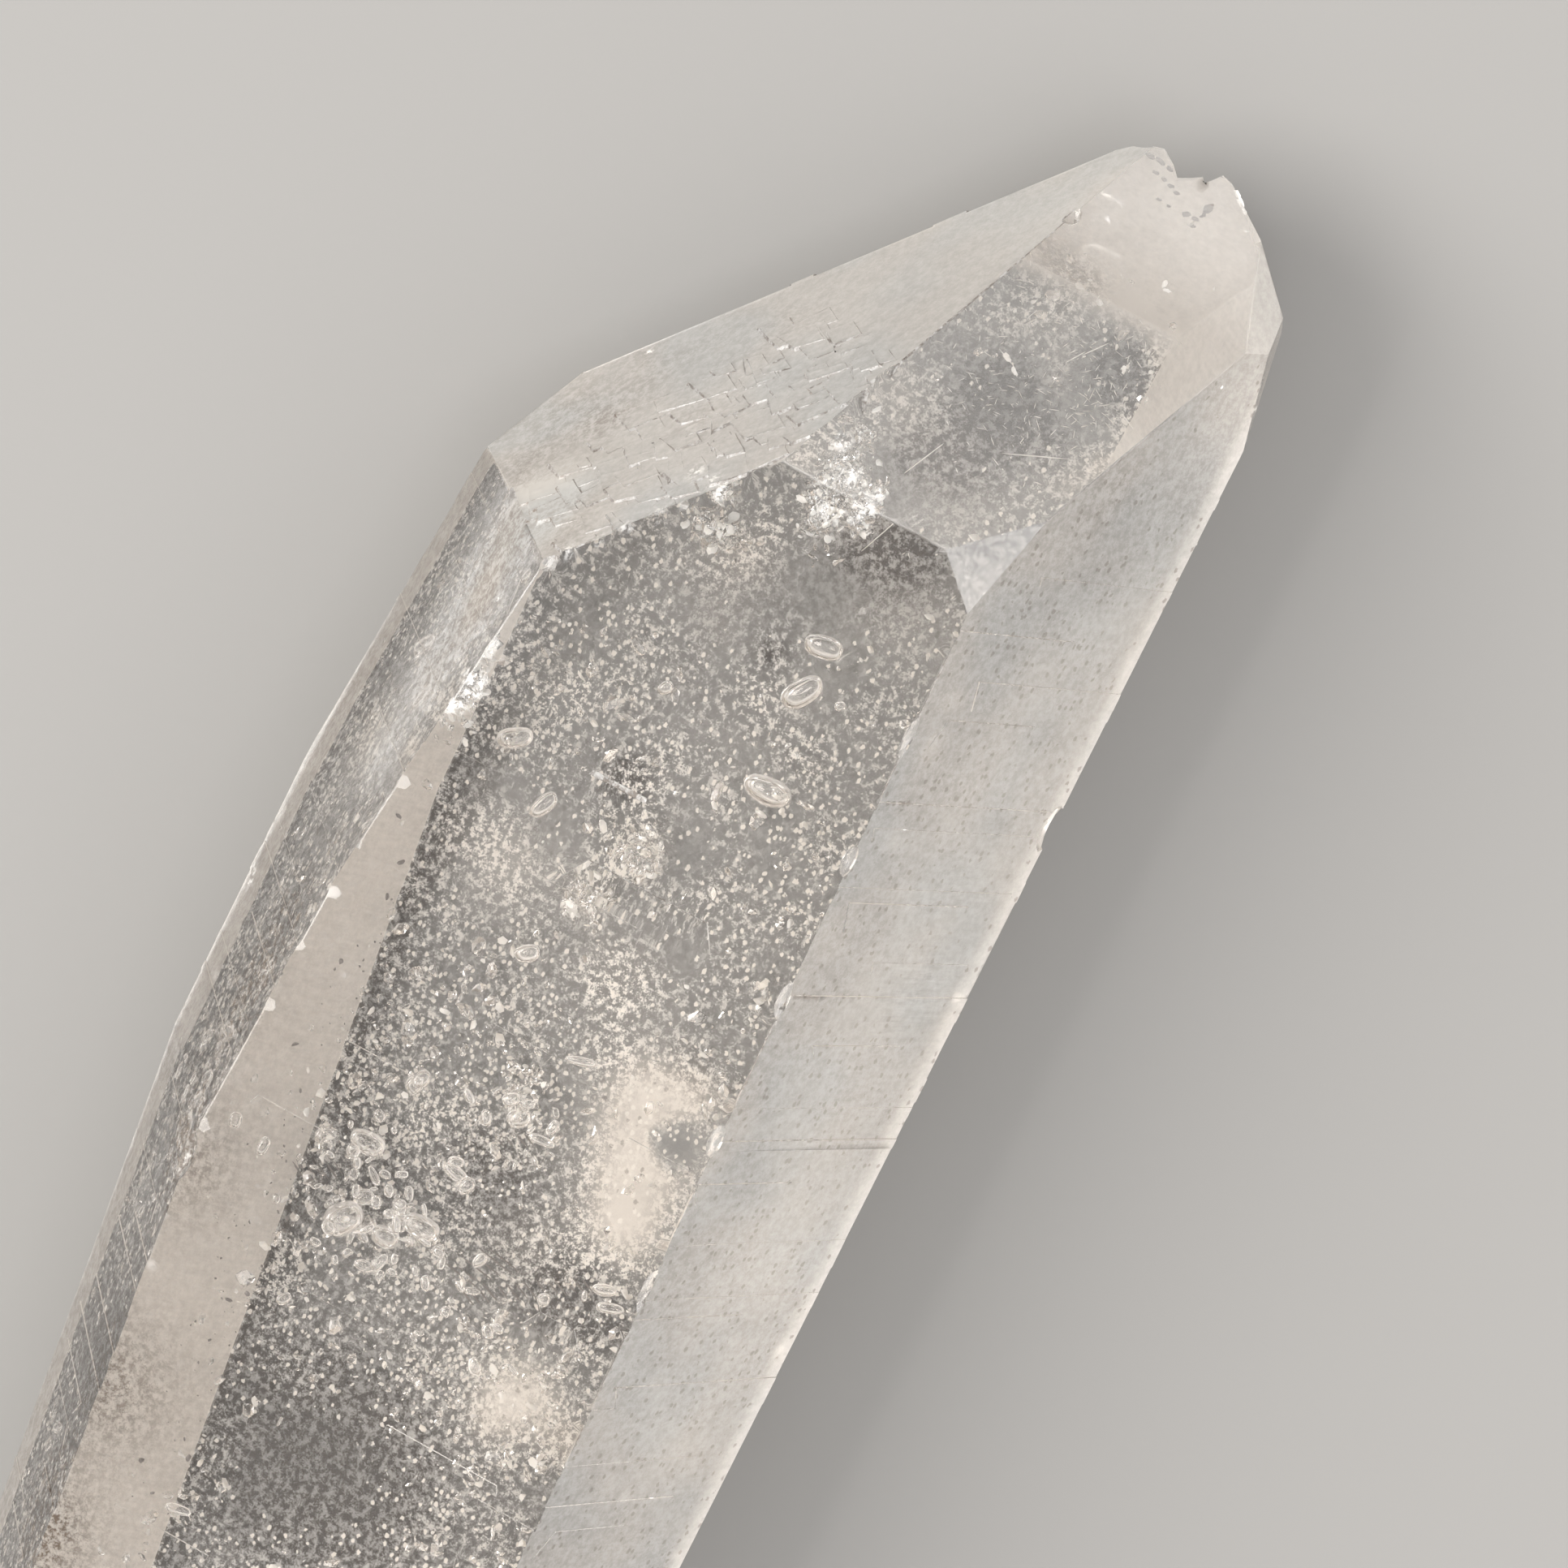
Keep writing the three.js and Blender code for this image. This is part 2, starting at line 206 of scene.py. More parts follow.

# Changes of finish along the crystal: where each starts and the length over which it grows
# The resting face grows darker towards the far point and by its left edge: painted shade as well as stain
REST_CLEAR_X = 14.0
REST_DARK_SPAN = 40.0
REST_DARK_STAIN_AND_SHADE = 0.58
REST_DARK_GRAIN = 0.20
REST_END_FADE = 1.1
REST_SIDE_STAIN_AND_SHADE = 0.8
REST_SIDE_SPAN = 1.5
REST_SIDE_CORE = 1.2
# More haze towards the near tip and the far end: painted light as well as milky film
TIP_MILK_AND_PAINTED_LIGHT = 0.10
TIP_FROM_X = 38.0
TIP_SPAN = 2.5
LEDGE_FACE_MOTTLE = 0.35
LEDGE_FACE_CLEAR_X = 34.0
LEDGE_FACE_SPAN = 8.0
FAR_END_MILK_AND_PAINTED_LIGHT = 0.12
FAR_END_FROM_X = -30.0
FAR_END_SPAN = 8.0
CLOUD_SWING = 1.3

# Edge lines: strength of their white line, a painted highlight, or of their dark one on the top face's right
# edge, a painted shade line
EDGE_HIGHLIGHT = 0.14
LEDGE_FACE_EDGE_HIGHLIGHT = 0.6
DARK_EDGE_SHADE = 0.9
EDGE_LINE_LEVEL = 0.6
EDGE_LINE_SWING = 1.6
EDGE_LINE_SCALE = 0.8

# Pale bands beside an edge: face, neighbour beyond the edge, width in millimetres, haze, paleness
BANDS = [
    ("right_upper", "right_lower", 0.8, 0.20, 0.45),
    ("left_upper", "left_lower", 0.35, 0.60, 0.60),
]
BAND_CORE = 1.3

# Spots on the faces below, seen through the crystal: pixel of the photograph, radius in millimetres,
# strength. The stain spots are painted shade as well as stain
UNDER_SPOTS = {
    "stain_and_shade": [
        ((1235, 490), 1.6, 1.2), ((1200, 540), 1.1, 0.8), ((1385, 455), 1.2, 1.4), ((1395, 490), 0.8, 0.8),
        ((1320, 335), 1.0, 0.9), ((1290, 300), 0.6, 0.4), ((1280, 545), 1.0, 0.7), ((770, 960), 0.9, 1.3),
        ((1110, 690), 1.8, 1.0), ((1060, 680), 0.8, 0.6), ((980, 740), 2.2, 0.20), ((950, 805), 0.5, 1.0),
        ((400, 1800), 3.2, 1.6), ((300, 1740), 2.4, 0.9), ((700, 1600), 1.5, 1.0), ((740, 1630), 0.8, 0.7),
        ((440, 1440), 1.6, 1.1), ((400, 1330), 1.5, 0.8), ((850, 1320), 0.8, 0.4), ((600, 1450), 2.0, 0.7),
        ((800, 1400), 2.4, -0.9), ((770, 1520), 1.5, -0.6), ((640, 1720), 1.8, -0.8),
        ((620, 1060), 2.0, -0.25), ((1180, 620), 2.0, -0.3), ((700, 840), 1.6, -0.2),
    ],
    "grain": [
        ((640, 800), 2.4, 0.35), ((780, 830), 2.0, 0.30), ((1000, 1000), 2.2, 0.25),
        ((1010, 1120), 2.2, 0.25), ((600, 1300), 3.4, 0.40), ((450, 1340), 2.0, 0.3),
        ((640, 1640), 2.5, 0.30), ((560, 1700), 2.0, 0.40), ((620, 1060), 2.2, -0.30),
        ((960, 740), 2.6, -0.30), ((380, 1800), 3.4, -0.50), ((640, 1540), 2.0, -0.3),
        ((760, 1200), 2.0, -0.2), ((1280, 480), 3.6, -0.26), ((1150, 560), 2.5, -0.25),
    ],
    "haze_and_painted_light": [
        ((800, 1350), 1.7, 0.85), ((785, 1440), 1.9, 0.95), ((765, 1515), 1.4, 0.75),
        ((860, 1345), 0.9, 0.5), ((833, 1410), 0.62, -1.9), ((812, 1404), 0.4, -0.8),
        ((640, 1720), 1.6, 0.9), ((700, 1780), 1.0, 0.7), ((600, 1750), 0.9, 0.5), ((790, 1050), 0.8, 0.7),
        ((725, 1105), 0.7, 0.7), ((620, 1060), 2.0, 0.45), ((760, 1200), 1.8, 0.30),
        ((640, 1540), 1.6, 0.30), ((920, 690), 1.3, 0.45), ((880, 770), 0.9, 0.25), ((1180, 620), 2.2, 0.35),
        ((1130, 520), 1.6, 0.35), ((850, 700), 1.6, 0.15), ((1310, 390), 1.1, 0.35),
        ((1300, 470), 0.6, 0.30), ((1320, 600), 1.0, 0.50), ((1320, 335), 1.0, -0.55),
        ((1290, 300), 0.8, -0.3), ((1390, 375), 0.9, 0.3), ((1385, 455), 1.1, -0.3),
        ((1235, 490), 1.4, -0.2), ((1100, 470), 1.2, 0.25), ((1240, 400), 1.0, 0.3), ((1310, 440), 0.5, 0.3),
        ((1440, 440), 0.9, 1.1), ((1425, 490), 0.8, 1.1), ((1400, 530), 0.8, 1.1), ((1365, 575), 0.7, 0.8),
    ],
    "cloud": [
        ((1235, 490), 1.7, -0.30), ((1385, 455), 1.2, -0.42), ((780, 1000), 3.0, 0.10),
        ((520, 1450), 3.0, 0.15), ((400, 1800), 3.4, -0.50), ((1080, 700), 2.2, -0.35),
        ((980, 760), 2.2, -0.25), ((833, 1410), 0.8, -0.5), ((690, 850), 2.2, 0.30),
        ((1320, 335), 1.2, 0.30), ((1180, 600), 2.6, -0.2), ((1270, 480), 3.4, -0.22),
    ],
}

# Spots on the faces that the photograph shows: pixel, radius in millimetres, strength. The stain spots are
# painted shade as well as stain, darkest towards the far point
NEAR_SPOTS = {
    "stain_and_shade": [
        ((733, 523), 1.3, 0.32), ((645, 570), 1.2, 0.32), ((700, 500), 1.7, 0.25), ((800, 470), 1.5, 0.22),
        ((860, 500), 1.2, 0.12), ((960, 400), 1.5, 0.12), ((450, 880), 1.0, 0.25), ((360, 1120), 1.8, 0.5),
        ((310, 1220), 2.2, 0.8), ((230, 1420), 2.6, 0.9), ((130, 1700), 3.2, 0.95), ((50, 1880), 2.6, 1.3),
        ((1370, 600), 1.4, 0.15),
    ],
    "haze_and_painted_light": [
        ((640, 640), 2.2, 0.75), ((590, 740), 2.0, 0.65), ((530, 830), 1.6, 0.50), ((475, 930), 1.3, 0.25),
    ],
    "pale": [
        ((940, 1620), 6.0, 0.14), ((1500, 560), 2.0, 0.30), ((1545, 470), 1.5, 0.3),
        ((1380, 240), 3.0, 0.10),
    ],
    "striae": [
        ((1130, 1230), 1.6, 0.8), ((1190, 1090), 1.6, 0.35), ((1060, 1360), 1.5, 0.2),
    ],
    "pits": [
        ((1180, 1000), 2.0, 0.15), ((1290, 760), 2.0, 0.20), ((900, 1700), 3.0, 0.15),
        ((1130, 1230), 1.5, -0.2), ((1500, 560), 2.0, -0.3),
    ],
    "cloud": [
        ((1036, 545), 0.26, 0.6), ((1044, 588), 0.30, 0.6), ((1064, 632), 0.30, 1.0),
        ((1022, 632), 0.26, 0.9), ((1004, 600), 0.22, 0.4), ((580, 840), 0.45, 0.9), ((560, 868), 0.35, 0.6),
        ((856, 580), 0.26, 0.7), ((876, 590), 0.24, 0.5), ((890, 606), 0.20, 1.0), ((310, 1080), 0.35, 0.7),
        ((799, 433), 0.14, 1.0), ((700, 680), 0.25, 0.5), ((735, 664), 0.25, 0.4), ((770, 650), 0.25, 0.45),
        ((810, 632), 0.25, 0.4), ((845, 618), 0.22, 0.4),
    ],
}

# Inclusions: colours, and sizes, heights and room from the surface in millimetres
GRAIN_WARM = (0.93, 0.89, 0.83, 1.0)
GRAIN_WHITE = (0.97, 0.955, 0.93, 1.0)
SPECK_DARK = (0.10, 0.08, 0.07, 1.0)
SPECK_LIGHT = (0.30, 0.27, 0.25, 1.0)
CAVITY_ROUGHNESS = 0.03
GRAIN_ROUGHNESS = 0.35
GRAIN_IOR = 1.3
SPECK_ROUGHNESS = 0.5
GRAIN_TONE_SCALE = (1.1, 1.1, 1.1)
GRAIN_TONE_LEVELS = (0.35, 0.65)
SPECK_TONE_SCALE = (2.0, 2.0, 2.0)
GRAIN_TRIES = 17000
GRAIN_SMALLEST = 0.06
GRAIN_MEAN_EXCESS = 0.075
GRAIN_LARGEST = 0.26
GRAIN_WIDTHS = (0.5, 0.9)
GRAIN_THICKNESSES = (0.25, 0.6)
GRAIN_LOWEST = 0.25
GRAIN_MEAN_RISE = 1.3
GRAIN_CLEARANCE = 0.12
HOLLOW_SHARE = 0.62
HOLLOW_SCALE = 1.45
GRAIN_SCALE = 0.9
BUBBLE_TILT = 8
BUBBLE_ROOM = 0.6
SWARM_HEIGHTS = (0.6, 3.2)
SWARM_LENGTHS = (0.25, 0.75)
SWARM_WIDTHS = (0.45, 0.8)
SWARM_TILTS = (-40, 40)
# The white band round each large cavity's middle is a painted reflection of the bright ring that total
# reflection gives its rim
PAINTED_RIM_COVER = 0.75
PAINTED_RIM_LEVEL = 1.35
PAINTED_RIM_FALL = 2.6
SWELL_WAVES = 2.6
BRUISE_ANGLE = 70
BRUISE_DEPTH_SPREAD = 0.22
PLATE_SIZES = (0.08, 0.32)
PLATE_SHAPE = np.array((1.0, 0.6, 0.25))
PLATE_CLEARANCE = 0.06
CRUMB_SHAPE = np.array((0.7, 0.5, 0.2))
CHIP_THICKNESS = 0.05
THREAD_THICKNESS = 0.022
THREAD_CLEARANCE = 0.15
SPLINTER_HEIGHTS = (0.3, 1.6)
SPLINTER_LENGTHS = (0.1, 0.45)
SPLINTER_THICKNESS = (0.016, 0.012)
CLEARANCE = 0.1

# How grains thicken towards the far point, from a least share, and the clouds they gather in: scale along
# each axis, layer of the noise, strength
GRAIN_CLEAR_X = 18.0
GRAIN_DENSE_SPAN = 40.0
GRAIN_SHARES = (0.20, 0.6)
GRAIN_CLOUD_LEVEL = 0.45
GRAIN_CLOUDS = [(0.16, 0.22, 2.0, 0.9), (0.7, 0.7, 6.0, 0.9)]

# Where grains crowd or thin out above the resting face: pixel, radius in millimetres, strength
GRAIN_SWARMS = [
    ((690, 800), 2.0, 0.35),
    ((780, 860), 1.5, 0.25),
    ((1000, 1080), 1.8, 0.25),
    ((540, 1220), 2.2, 0.40),
    ((640, 1330), 2.2, 0.55),
    ((470, 1330), 1.8, 0.50),
    ((560, 1420), 1.5, 0.40),
    ((400, 1560), 2.0, 0.45),
    ((560, 1700), 2.4, 0.50),
    ((760, 1560), 1.0, 0.50),
    ((620, 1060), 2.2, -0.50),
    ((960, 720), 2.6, -0.40),
    ((620, 1530), 1.6, -0.45),
    ((380, 1820), 2.8, -0.85),
    ((770, 1200), 1.8, -0.35),
    ((1250, 450), 6.0, -0.10),
]

# Large cavities: pixel, height above the resting face, length, width, angle from the photograph's level
BUBBLES = [
    ((1015, 797), 5.0, 1.45, 0.75, -14),
    ((990, 853), 4.6, 1.55, 0.95, 32),
    ((945, 975), 4.0, 1.75, 0.95, -22),
    ((670, 992), 2.6, 1.25, 0.60, 40),
    ((635, 910), 2.2, 1.20, 0.75, 10),
    ((650, 1175), 2.4, 1.00, 0.60, 12),
    ((745, 1590), 3.2, 0.85, 0.42, -4),
    ((220, 1860), 3.0, 1.00, 0.35, -12),
    ((1035, 870), 3.0, 0.40, 0.30, 20),
    ((820, 848), 3.4, 0.60, 0.45, 30),
    ((715, 1308), 2.4, 1.10, 0.32, -8),
    ((630, 1355), 2.6, 0.70, 0.50, 20),
    ((350, 1600), 2.0, 0.65, 0.40, 30),
    ((670, 1600), 2.4, 0.45, 0.40, 0),
    ((560, 1445), 2.2, 0.90, 0.50, -35),
    ((290, 1380), 6.0, 0.60, 0.45, 70),
    ((325, 1412), 6.5, 0.65, 0.40, 60),
    ((520, 1330), 2.0, 0.80, 0.60, 45),
    ((424, 1500), 2.4, 1.45, 1.25, 30),
    ((474, 1524), 2.2, 1.00, 0.85, -20),
    ((518, 1512), 2.2, 1.35, 0.90, -25),
    ((452, 1408), 2.0, 1.20, 0.85, -25),
    ((402, 1398), 2.0, 0.80, 0.55, 20),
    ((562, 1432), 2.0, 0.60, 0.45, 0),
    ((575, 1462), 2.0, 0.75, 0.50, 40),
    ((510, 1338), 2.0, 0.70, 0.60, 60),
    ((640, 1378), 1.8, 0.95, 0.70, 15),
    ((668, 1405), 1.8, 0.90, 0.35, -20),
    ((720, 1597), 1.6, 0.40, 0.25, 80),
    ((752, 1612), 1.6, 0.95, 0.38, -6),
]

# Crowds of small cavities: pixel, spread in millimetres, number
BUBBLE_SWARMS = [
    ((430, 1500), 1.0, 34),
    ((510, 1520), 0.8, 22),
    ((460, 1420), 0.7, 14),
    ((640, 1370), 0.9, 14),
    ((560, 1590), 1.2, 14),
]

# Healed cracks: pixel, height, spread along and across, number of plates
BRUISES = [
    ((1037, 585), 12.6, 0.85, 0.36, 300),
    ((1064, 632), 12.8, 0.35, 0.16, 120),
    ((580, 845), 11.0, 0.75, 0.28, 190),
    ((865, 585), 11.0, 0.25, 0.50, 120),
    ((890, 607), 12.0, 0.15, 0.25, 40),
    ((310, 1080), 9.0, 0.30, 0.18, 60),
    ((790, 1050), 2.5, 0.45, 0.40, 90),
    ((725, 1105), 2.4, 0.40, 0.40, 80),
    ((960, 980), 3.8, 0.24, 0.14, 24),
    ((632, 912), 2.2, 0.22, 0.12, 20),
    ((1065, 655), 12.4, 0.10, 0.16, 24),
    ((425, 1495), 2.2, 0.30, 0.25, 24),
    ((505, 1520), 2.2, 0.30, 0.20, 20),
    ((645, 1350), 2.2, 0.50, 0.40, 40),
    ((400, 1395), 2.0, 0.40, 0.20, 24),
]

# White threads: pixel, height, length, angle
WISPS = [
    ((1275, 562), 3.0, 2.30, 0),
    ((1240, 440), 2.2, 0.80, -50),
    ((1250, 455), 2.2, 0.60, -75),
    ((1138, 565), 3.0, 2.00, 42),
    ((1350, 430), 2.0, 1.20, 30),
    ((1325, 440), 2.0, 0.90, 34),
    ((1390, 520), 2.0, 0.70, -55),
    ((1030, 425), 12.0, 0.80, -60),
]

# Crowds of fine splinters: pixel, spread in millimetres, number
WISP_SWARMS = [
    ((1240, 480), 1.5, 110),
    ((1370, 460), 1.1, 110),
    ((1300, 380), 1.5, 60),
    ((1320, 530), 1.3, 60),
]

# Dark strokes in parallel: pixel, number, gap between strokes in millimetres, length, angle
HATCHES = [
    ((395, 1440), 7, 0.22, 0.90, -55),
    ((655, 1590), 14, 0.30, 0.80, -50),
    ((600, 1560), 6, 0.30, 1.40, -35),
    ((880, 1500), 5, 0.30, 0.60, -50),
]
STROKE_HEIGHT = 0.5
STROKE_JITTER = 0.05
STROKE_SLANT = 0.6
STROKE_HALVES = (0.3, 0.6)
STROKE_THICKNESS = (0.035, 0.03)

# Dark specks strewn along a line between two pixels, and their number
SPECK_LINES = [
    ((520, 1000), (250, 1700), 70),
    ((400, 1300), (180, 1850), 50),
]
SPECK_LINE_SPREAD = 22
SPECK_HEIGHTS = (5.0, 13.0)
SPECK_SMALLEST = 0.02
SPECK_MEAN_EXCESS = 0.02
SPECK_SHAPE = np.array((1.5, 1.0, 0.6))

# Dark smudges below the crest: pixel, depth, size, angle
CREST_SPECKS = [
    ((1418, 192), 0.12, 0.22, -30),
    ((1430, 199), 0.12, 0.22, -40),
    ((1441, 208), 0.12, 0.16, -50),
    ((1424, 213), 0.14, 0.16, -20),
    ((1434, 221), 0.14, 0.14, -20),
    ((1442, 229), 0.14, 0.16, -20),
    ((1450, 238), 0.12, 0.14, -20),
    ((1428, 246), 0.14, 0.12, -20),
    ((1440, 254), 0.14, 0.10, -20),
    ((1462, 264), 0.16, 0.20, 10),
    ((1473, 270), 0.16, 0.18, -20),
    ((1482, 266), 0.16, 0.14, 30),
    ((1470, 279), 0.16, 0.12, 0),
    ((1488, 258), 0.14, 0.30, 35),
]
CREST_CLEARANCE = 0.05
CREST_SHAPE = (0.8, 0.45)
CREST_THICKNESS = 0.04

# White chips: pixel, depth below the surface, half length, angle
CHIPS = [
    ((1435, 350), 0.5, 0.16, 60),
    ((1438, 358), 0.5, 0.13, -20),
    ((1525, 240), 0.10, 0.18, -60),
    ((1529, 250), 0.10, 0.20, -60),
    ((1533, 260), 0.10, 0.14, -60),
    ((1536, 285), 0.10, 0.07, 0),
    ((1503, 478), 0.10, 0.14, 10),
    ((1385, 455), 3.5, 0.16, 80),
    ((1240, 440), 3.5, 0.20, -50),
    ((1250, 458), 3.5, 0.16, -70),
]


def camera_axes():
    """The photograph's right and up directions."""
    right = CAMERA_UP.cross(CAMERA_BACK).normalized()
    return right, CAMERA_BACK.cross(right).normalized()


def add_object(name, data):
    thing = bpy.data.objects.new(name, data)
    bpy.context.scene.collection.objects.link(thing)
    return thing


def add_piece(name, mesh, material):
    """A visible part of the crystal, which rides with it."""
    mesh.materials.append(material)
    piece = add_object(name, mesh)
    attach(piece, "root")
    return piece


def make_camera():
    data = bpy.data.cameras.new("photo_camera")
    data.lens = CAMERA_LENS
    data.sensor_width = CAMERA_SENSOR
    data.clip_start, data.clip_end = CAMERA_CLIP
    camera = add_object("photo_camera", data)
    turn = Matrix((*camera_axes(), CAMERA_BACK)).transposed()
    camera.matrix_world = Matrix.Translation(CAMERA_TARGET + CAMERA_BACK * CAMERA_DISTANCE) @ turn.to_4x4()
    bpy.context.scene.camera = camera


def new_material(name):
    """A material and the tools that add nodes to it."""
    material = bpy.data.materials.new(name)
    material.use_nodes = True
    return material, Nodes(material.node_tree)


class Nodes:
    """Short ways to add shader nodes; an input may be a number, a colour or another node's output."""

    def __init__(self, tree):
        self.tree = tree

    def fill(self, name, inputs):
        self.link(self.tree.nodes[name], inputs)

    def link(self, node, inputs):
        for name, value in inputs.items():
            if isinstance(value, bpy.types.NodeSocket):
                self.tree.links.new(value, node.inputs[name])
            else:
                node.inputs[name].default_value = value

    def add(self, kind, inputs, **settings):
        """A new node's outputs."""
        node = self.tree.nodes.new("ShaderNode" + kind)
        for name, value in settings.items():
            setattr(node, name, value)
        self.link(node, inputs)
        return node.outputs

    def math(self, operation, *values, clamp=False):
        return self.add("Math", dict(enumerate(values)), operation=operation, use_clamp=clamp)[0]

    def times(self, first, second, clamp=False):
        return self.math("MULTIPLY", first, second, clamp=clamp)

    def plus(self, first, second):
        return self.math("ADD", first, second)

    def most(self, first, second, clamp=False):
        return self.math("MAXIMUM", first, second, clamp=clamp)

    def one_minus(self, value, clamp=False):
        return self.math("SUBTRACT", 1.0, value, clamp=clamp)

    def step(self, value, levels):
        """Goes smoothly from 0 at the first level to 1 at the second."""
        inputs = {"Value": value, "From Min": levels[0], "From Max": levels[1]}
        return self.add("MapRange", inputs, interpolation_type="SMOOTHSTEP")["Result"]

    def mix(self, factor, first, second):
        return self.add("Mix", {0: factor, 6: first, 7: second}, data_type="RGBA")[2]

    def attribute(self, name):
        return self.add("Attribute", {}, attribute_name=name)["Fac"]

    def vector(self, operation, first, second):
        return self.add("VectorMath", {0: first, 1: second}, operation=operation)[0]

    def place(self, stretch):
        """Object coordinates in millimetres, times a stretch along each axis."""
        return self.vector("MULTIPLY", self.add("TexCoord", {})["Object"], [value / MM for value in stretch])

    def noise(self, stretch, detail=2.0, roughness=0.5):
        inputs = {"Vector": self.place(stretch), "Scale": 1.0, "Detail": detail, "Roughness": roughness}
        return self.add("TexNoise", inputs)["Fac"]

    def cells(self, stretch, waver):
        """Random ragged cells: the distance from each cell's centre, and a random value for each cell."""
        moved = self.vector("ADD", self.place(stretch), waver)
        cell = self.add("TexVoronoi", {"Vector": moved, "Scale": 1.0})
        return cell["Distance"], self.add("SeparateColor", {"Color": cell["Color"]})["Red"]


def flakes(tools, stretch, waver, density, pits):
    """Small angular flakes and pits, as many as the two attributes ask for."""
    distance, chance = tools.cells(stretch, waver)
    shape = tools.one_minus(tools.step(distance, FLAKE_LEVELS))
    pale = tools.math("GREATER_THAN", tools.plus(chance, density), 1.0)
    dark = tools.math("LESS_THAN", chance, pits)
    return tools.times(shape, pale), tools.times(shape, dark)


def quartz_color(tools, mottle, cloudy, speckle, pit):
    """Clear quartz under milky film, then dark stain and painted shade, and pits, then pale flakes and
    clouds.
    """
    # The pale film is painted light on the faces that get little lamp light
    outer = tools.mix(tools.attribute("tone"), FILM_WARM, FILM_COOL)
    film = tools.mix(tools.attribute("pale"), outer, PALE_FILM_AND_PAINTED_LIGHT)
    body = tools.mix(tools.times(tools.attribute("haze_and_painted_light"), FILM_TINT, clamp=True), (1, 1, 1, 1), film)
    patchy = tools.times(tools.attribute("stain_and_shade"), tools.step(mottle, STAIN_AND_SHADE_LEVELS))
    patchy = tools.most(patchy, tools.times(pit, PIT_DARKNESS), clamp=True)
    darkened = tools.mix(patchy, body, STAIN_AND_SHADE_COLOR)
    return tools.mix(tools.most(speckle, cloudy), darkened, FLAKE_COLOR)


def quartz_cover(tools, mottle, lines, cloudy, speckle):
    """How much of the surface is covered, by film that is partly painted light, growth lines, clouds and
    flakes.
    """
    film_and_light = tools.times(tools.attribute("haze_and_painted_light"), mottled(tools, mottle, MILK_SHARES))
    streaks = tools.times(tools.attribute("striae"), tools.math("SUBTRACT", lines, 0.5))
    cover = tools.plus(tools.plus(film_and_light, streaks), cloudy)
    return tools.most(cover, tools.times(speckle, FLAKE_COVER))


def mottled(tools, mottle, shares):
    plain, varied = shares
    return tools.plus(plain, tools.times(mottle, varied))


def quartz_material():
    material, tools = new_material("clear_quartz")
    mottle = tools.noise(MOTTLE_SCALE, detail=4.0, roughness=0.85)
    lines = tools.noise(LINE_SCALE, roughness=0.6)
    waver = mottle.node.outputs["Color"]
    speckle, pit = flakes(tools, FLAKE_SCALE, waver, tools.attribute("grain"), tools.attribute("pits"))
    cloudy = tools.times(tools.attribute("cloud"), tools.step(mottle, CLOUD_LEVELS))
    cover = quartz_cover(tools, mottle, lines, cloudy, speckle)
    etched = tools.times(tools.attribute("frost"), mottled(tools, mottle, FROST_SHARES))
    ridges = tools.times(tools.attribute("striae"), lines)
    tools.fill("Principled BSDF", {
        "Base Color": quartz_color(tools, mottle, cloudy, speckle, pit),
        "Transmission Weight": tools.one_minus(cover, clamp=True),
        "Roughness": tools.plus(etched, POLISH_ROUGHNESS),
        "IOR": QUARTZ_IOR,
        "Normal": tools.add("Bump", {"Distance": BUMP_HEIGHT * MM, "Height": ridges})["Normal"],
    })
    absorption = {"Color": ABSORPTION_COLOR, "Density": ABSORPTION_DENSITY}
    tools.fill("Material Output", {"Volume": tools.add("VolumeAbsorption", absorption)["Volume"]})
    return material


def make_floor():
    mesh = bpy.data.meshes.new("floor")
    half = FLOOR_HALF
    corners = [(x, y, -FLOOR_GAP) for x, y in ((-half, -half), (half, -half), (half, half), (-half, half))]
    mesh.from_pydata(corners, [], [(0, 1, 2, 3)])
    material, tools = new_material("pale_floor")
    tools.fill("Principled BSDF", {"Base Color": FLOOR_COLOR, "Roughness": FLOOR_ROUGHNESS})
    mesh.materials.append(material)
    add_object("floor", mesh)


def make_lights():
    world = bpy.data.worlds.new("studio")
    bpy.context.scene.world = world
    world.use_nodes = True
    background = world.node_tree.nodes["Background"]
    background.inputs["Color"].default_value = WORLD_COLOR
    background.inputs["Strength"].default_value = WORLD_STRENGTH
    for name, (location, power, color) in LIGHTS.items():
        data = bpy.data.lights.new(name, "AREA")
        data.size = LIGHT_SIZE
        data.energy = power
        data.color = color
        light = add_object(name, data)
        light.location = location
        light.rotation_mode = "QUATERNION"
        light.rotation_quaternion = Vector(location).to_track_quat("Z", "Y")


# Facets

def facet_name(normal):
    """Name of the face that a flat region belongs to; "broken" for anything that isn't a growth face."""
    lean = math.degrees(math.acos(max(-1.0, min(1.0, normal.x))))
    turn = math.degrees(math.atan2(-normal.y, normal.z))
    for name, side_turn in SIDE_TURNS.items():
        off = abs((turn - side_turn + 180) % 360 - 180)
        if off > SIDE_TOLERANCE:
            continue
        if SIDE_LEANS[0] < lean < SIDE_LEANS[1]:
            return name
        if NEAR_LEANS[0] < lean < NEAR_LEANS[1]:
            return "near_" + name
        if FAR_LEANS[0] < lean < FAR_LEANS[1]:
            return "far_" + name
    return "broken"


def flat_regions(mesh):
    """The CAD surface in millimetres, with each flat region as one many-sided face."""
    shape = bmesh.new()
    shape.from_mesh(mesh)
    bmesh.ops.scale(shape, vec=(1 / MM,) * 3, verts=shape.verts)
    bmesh.ops.remove_doubles(shape, verts=shape.verts, dist=MERGE_DISTANCE)
    bmesh.ops.dissolve_limit(shape, angle_limit=math.radians(FLAT_ANGLE), verts=shape.verts,
                             edges=shape.edges, use_dissolve_boundaries=False)
    shape.normal_update()
    return shape


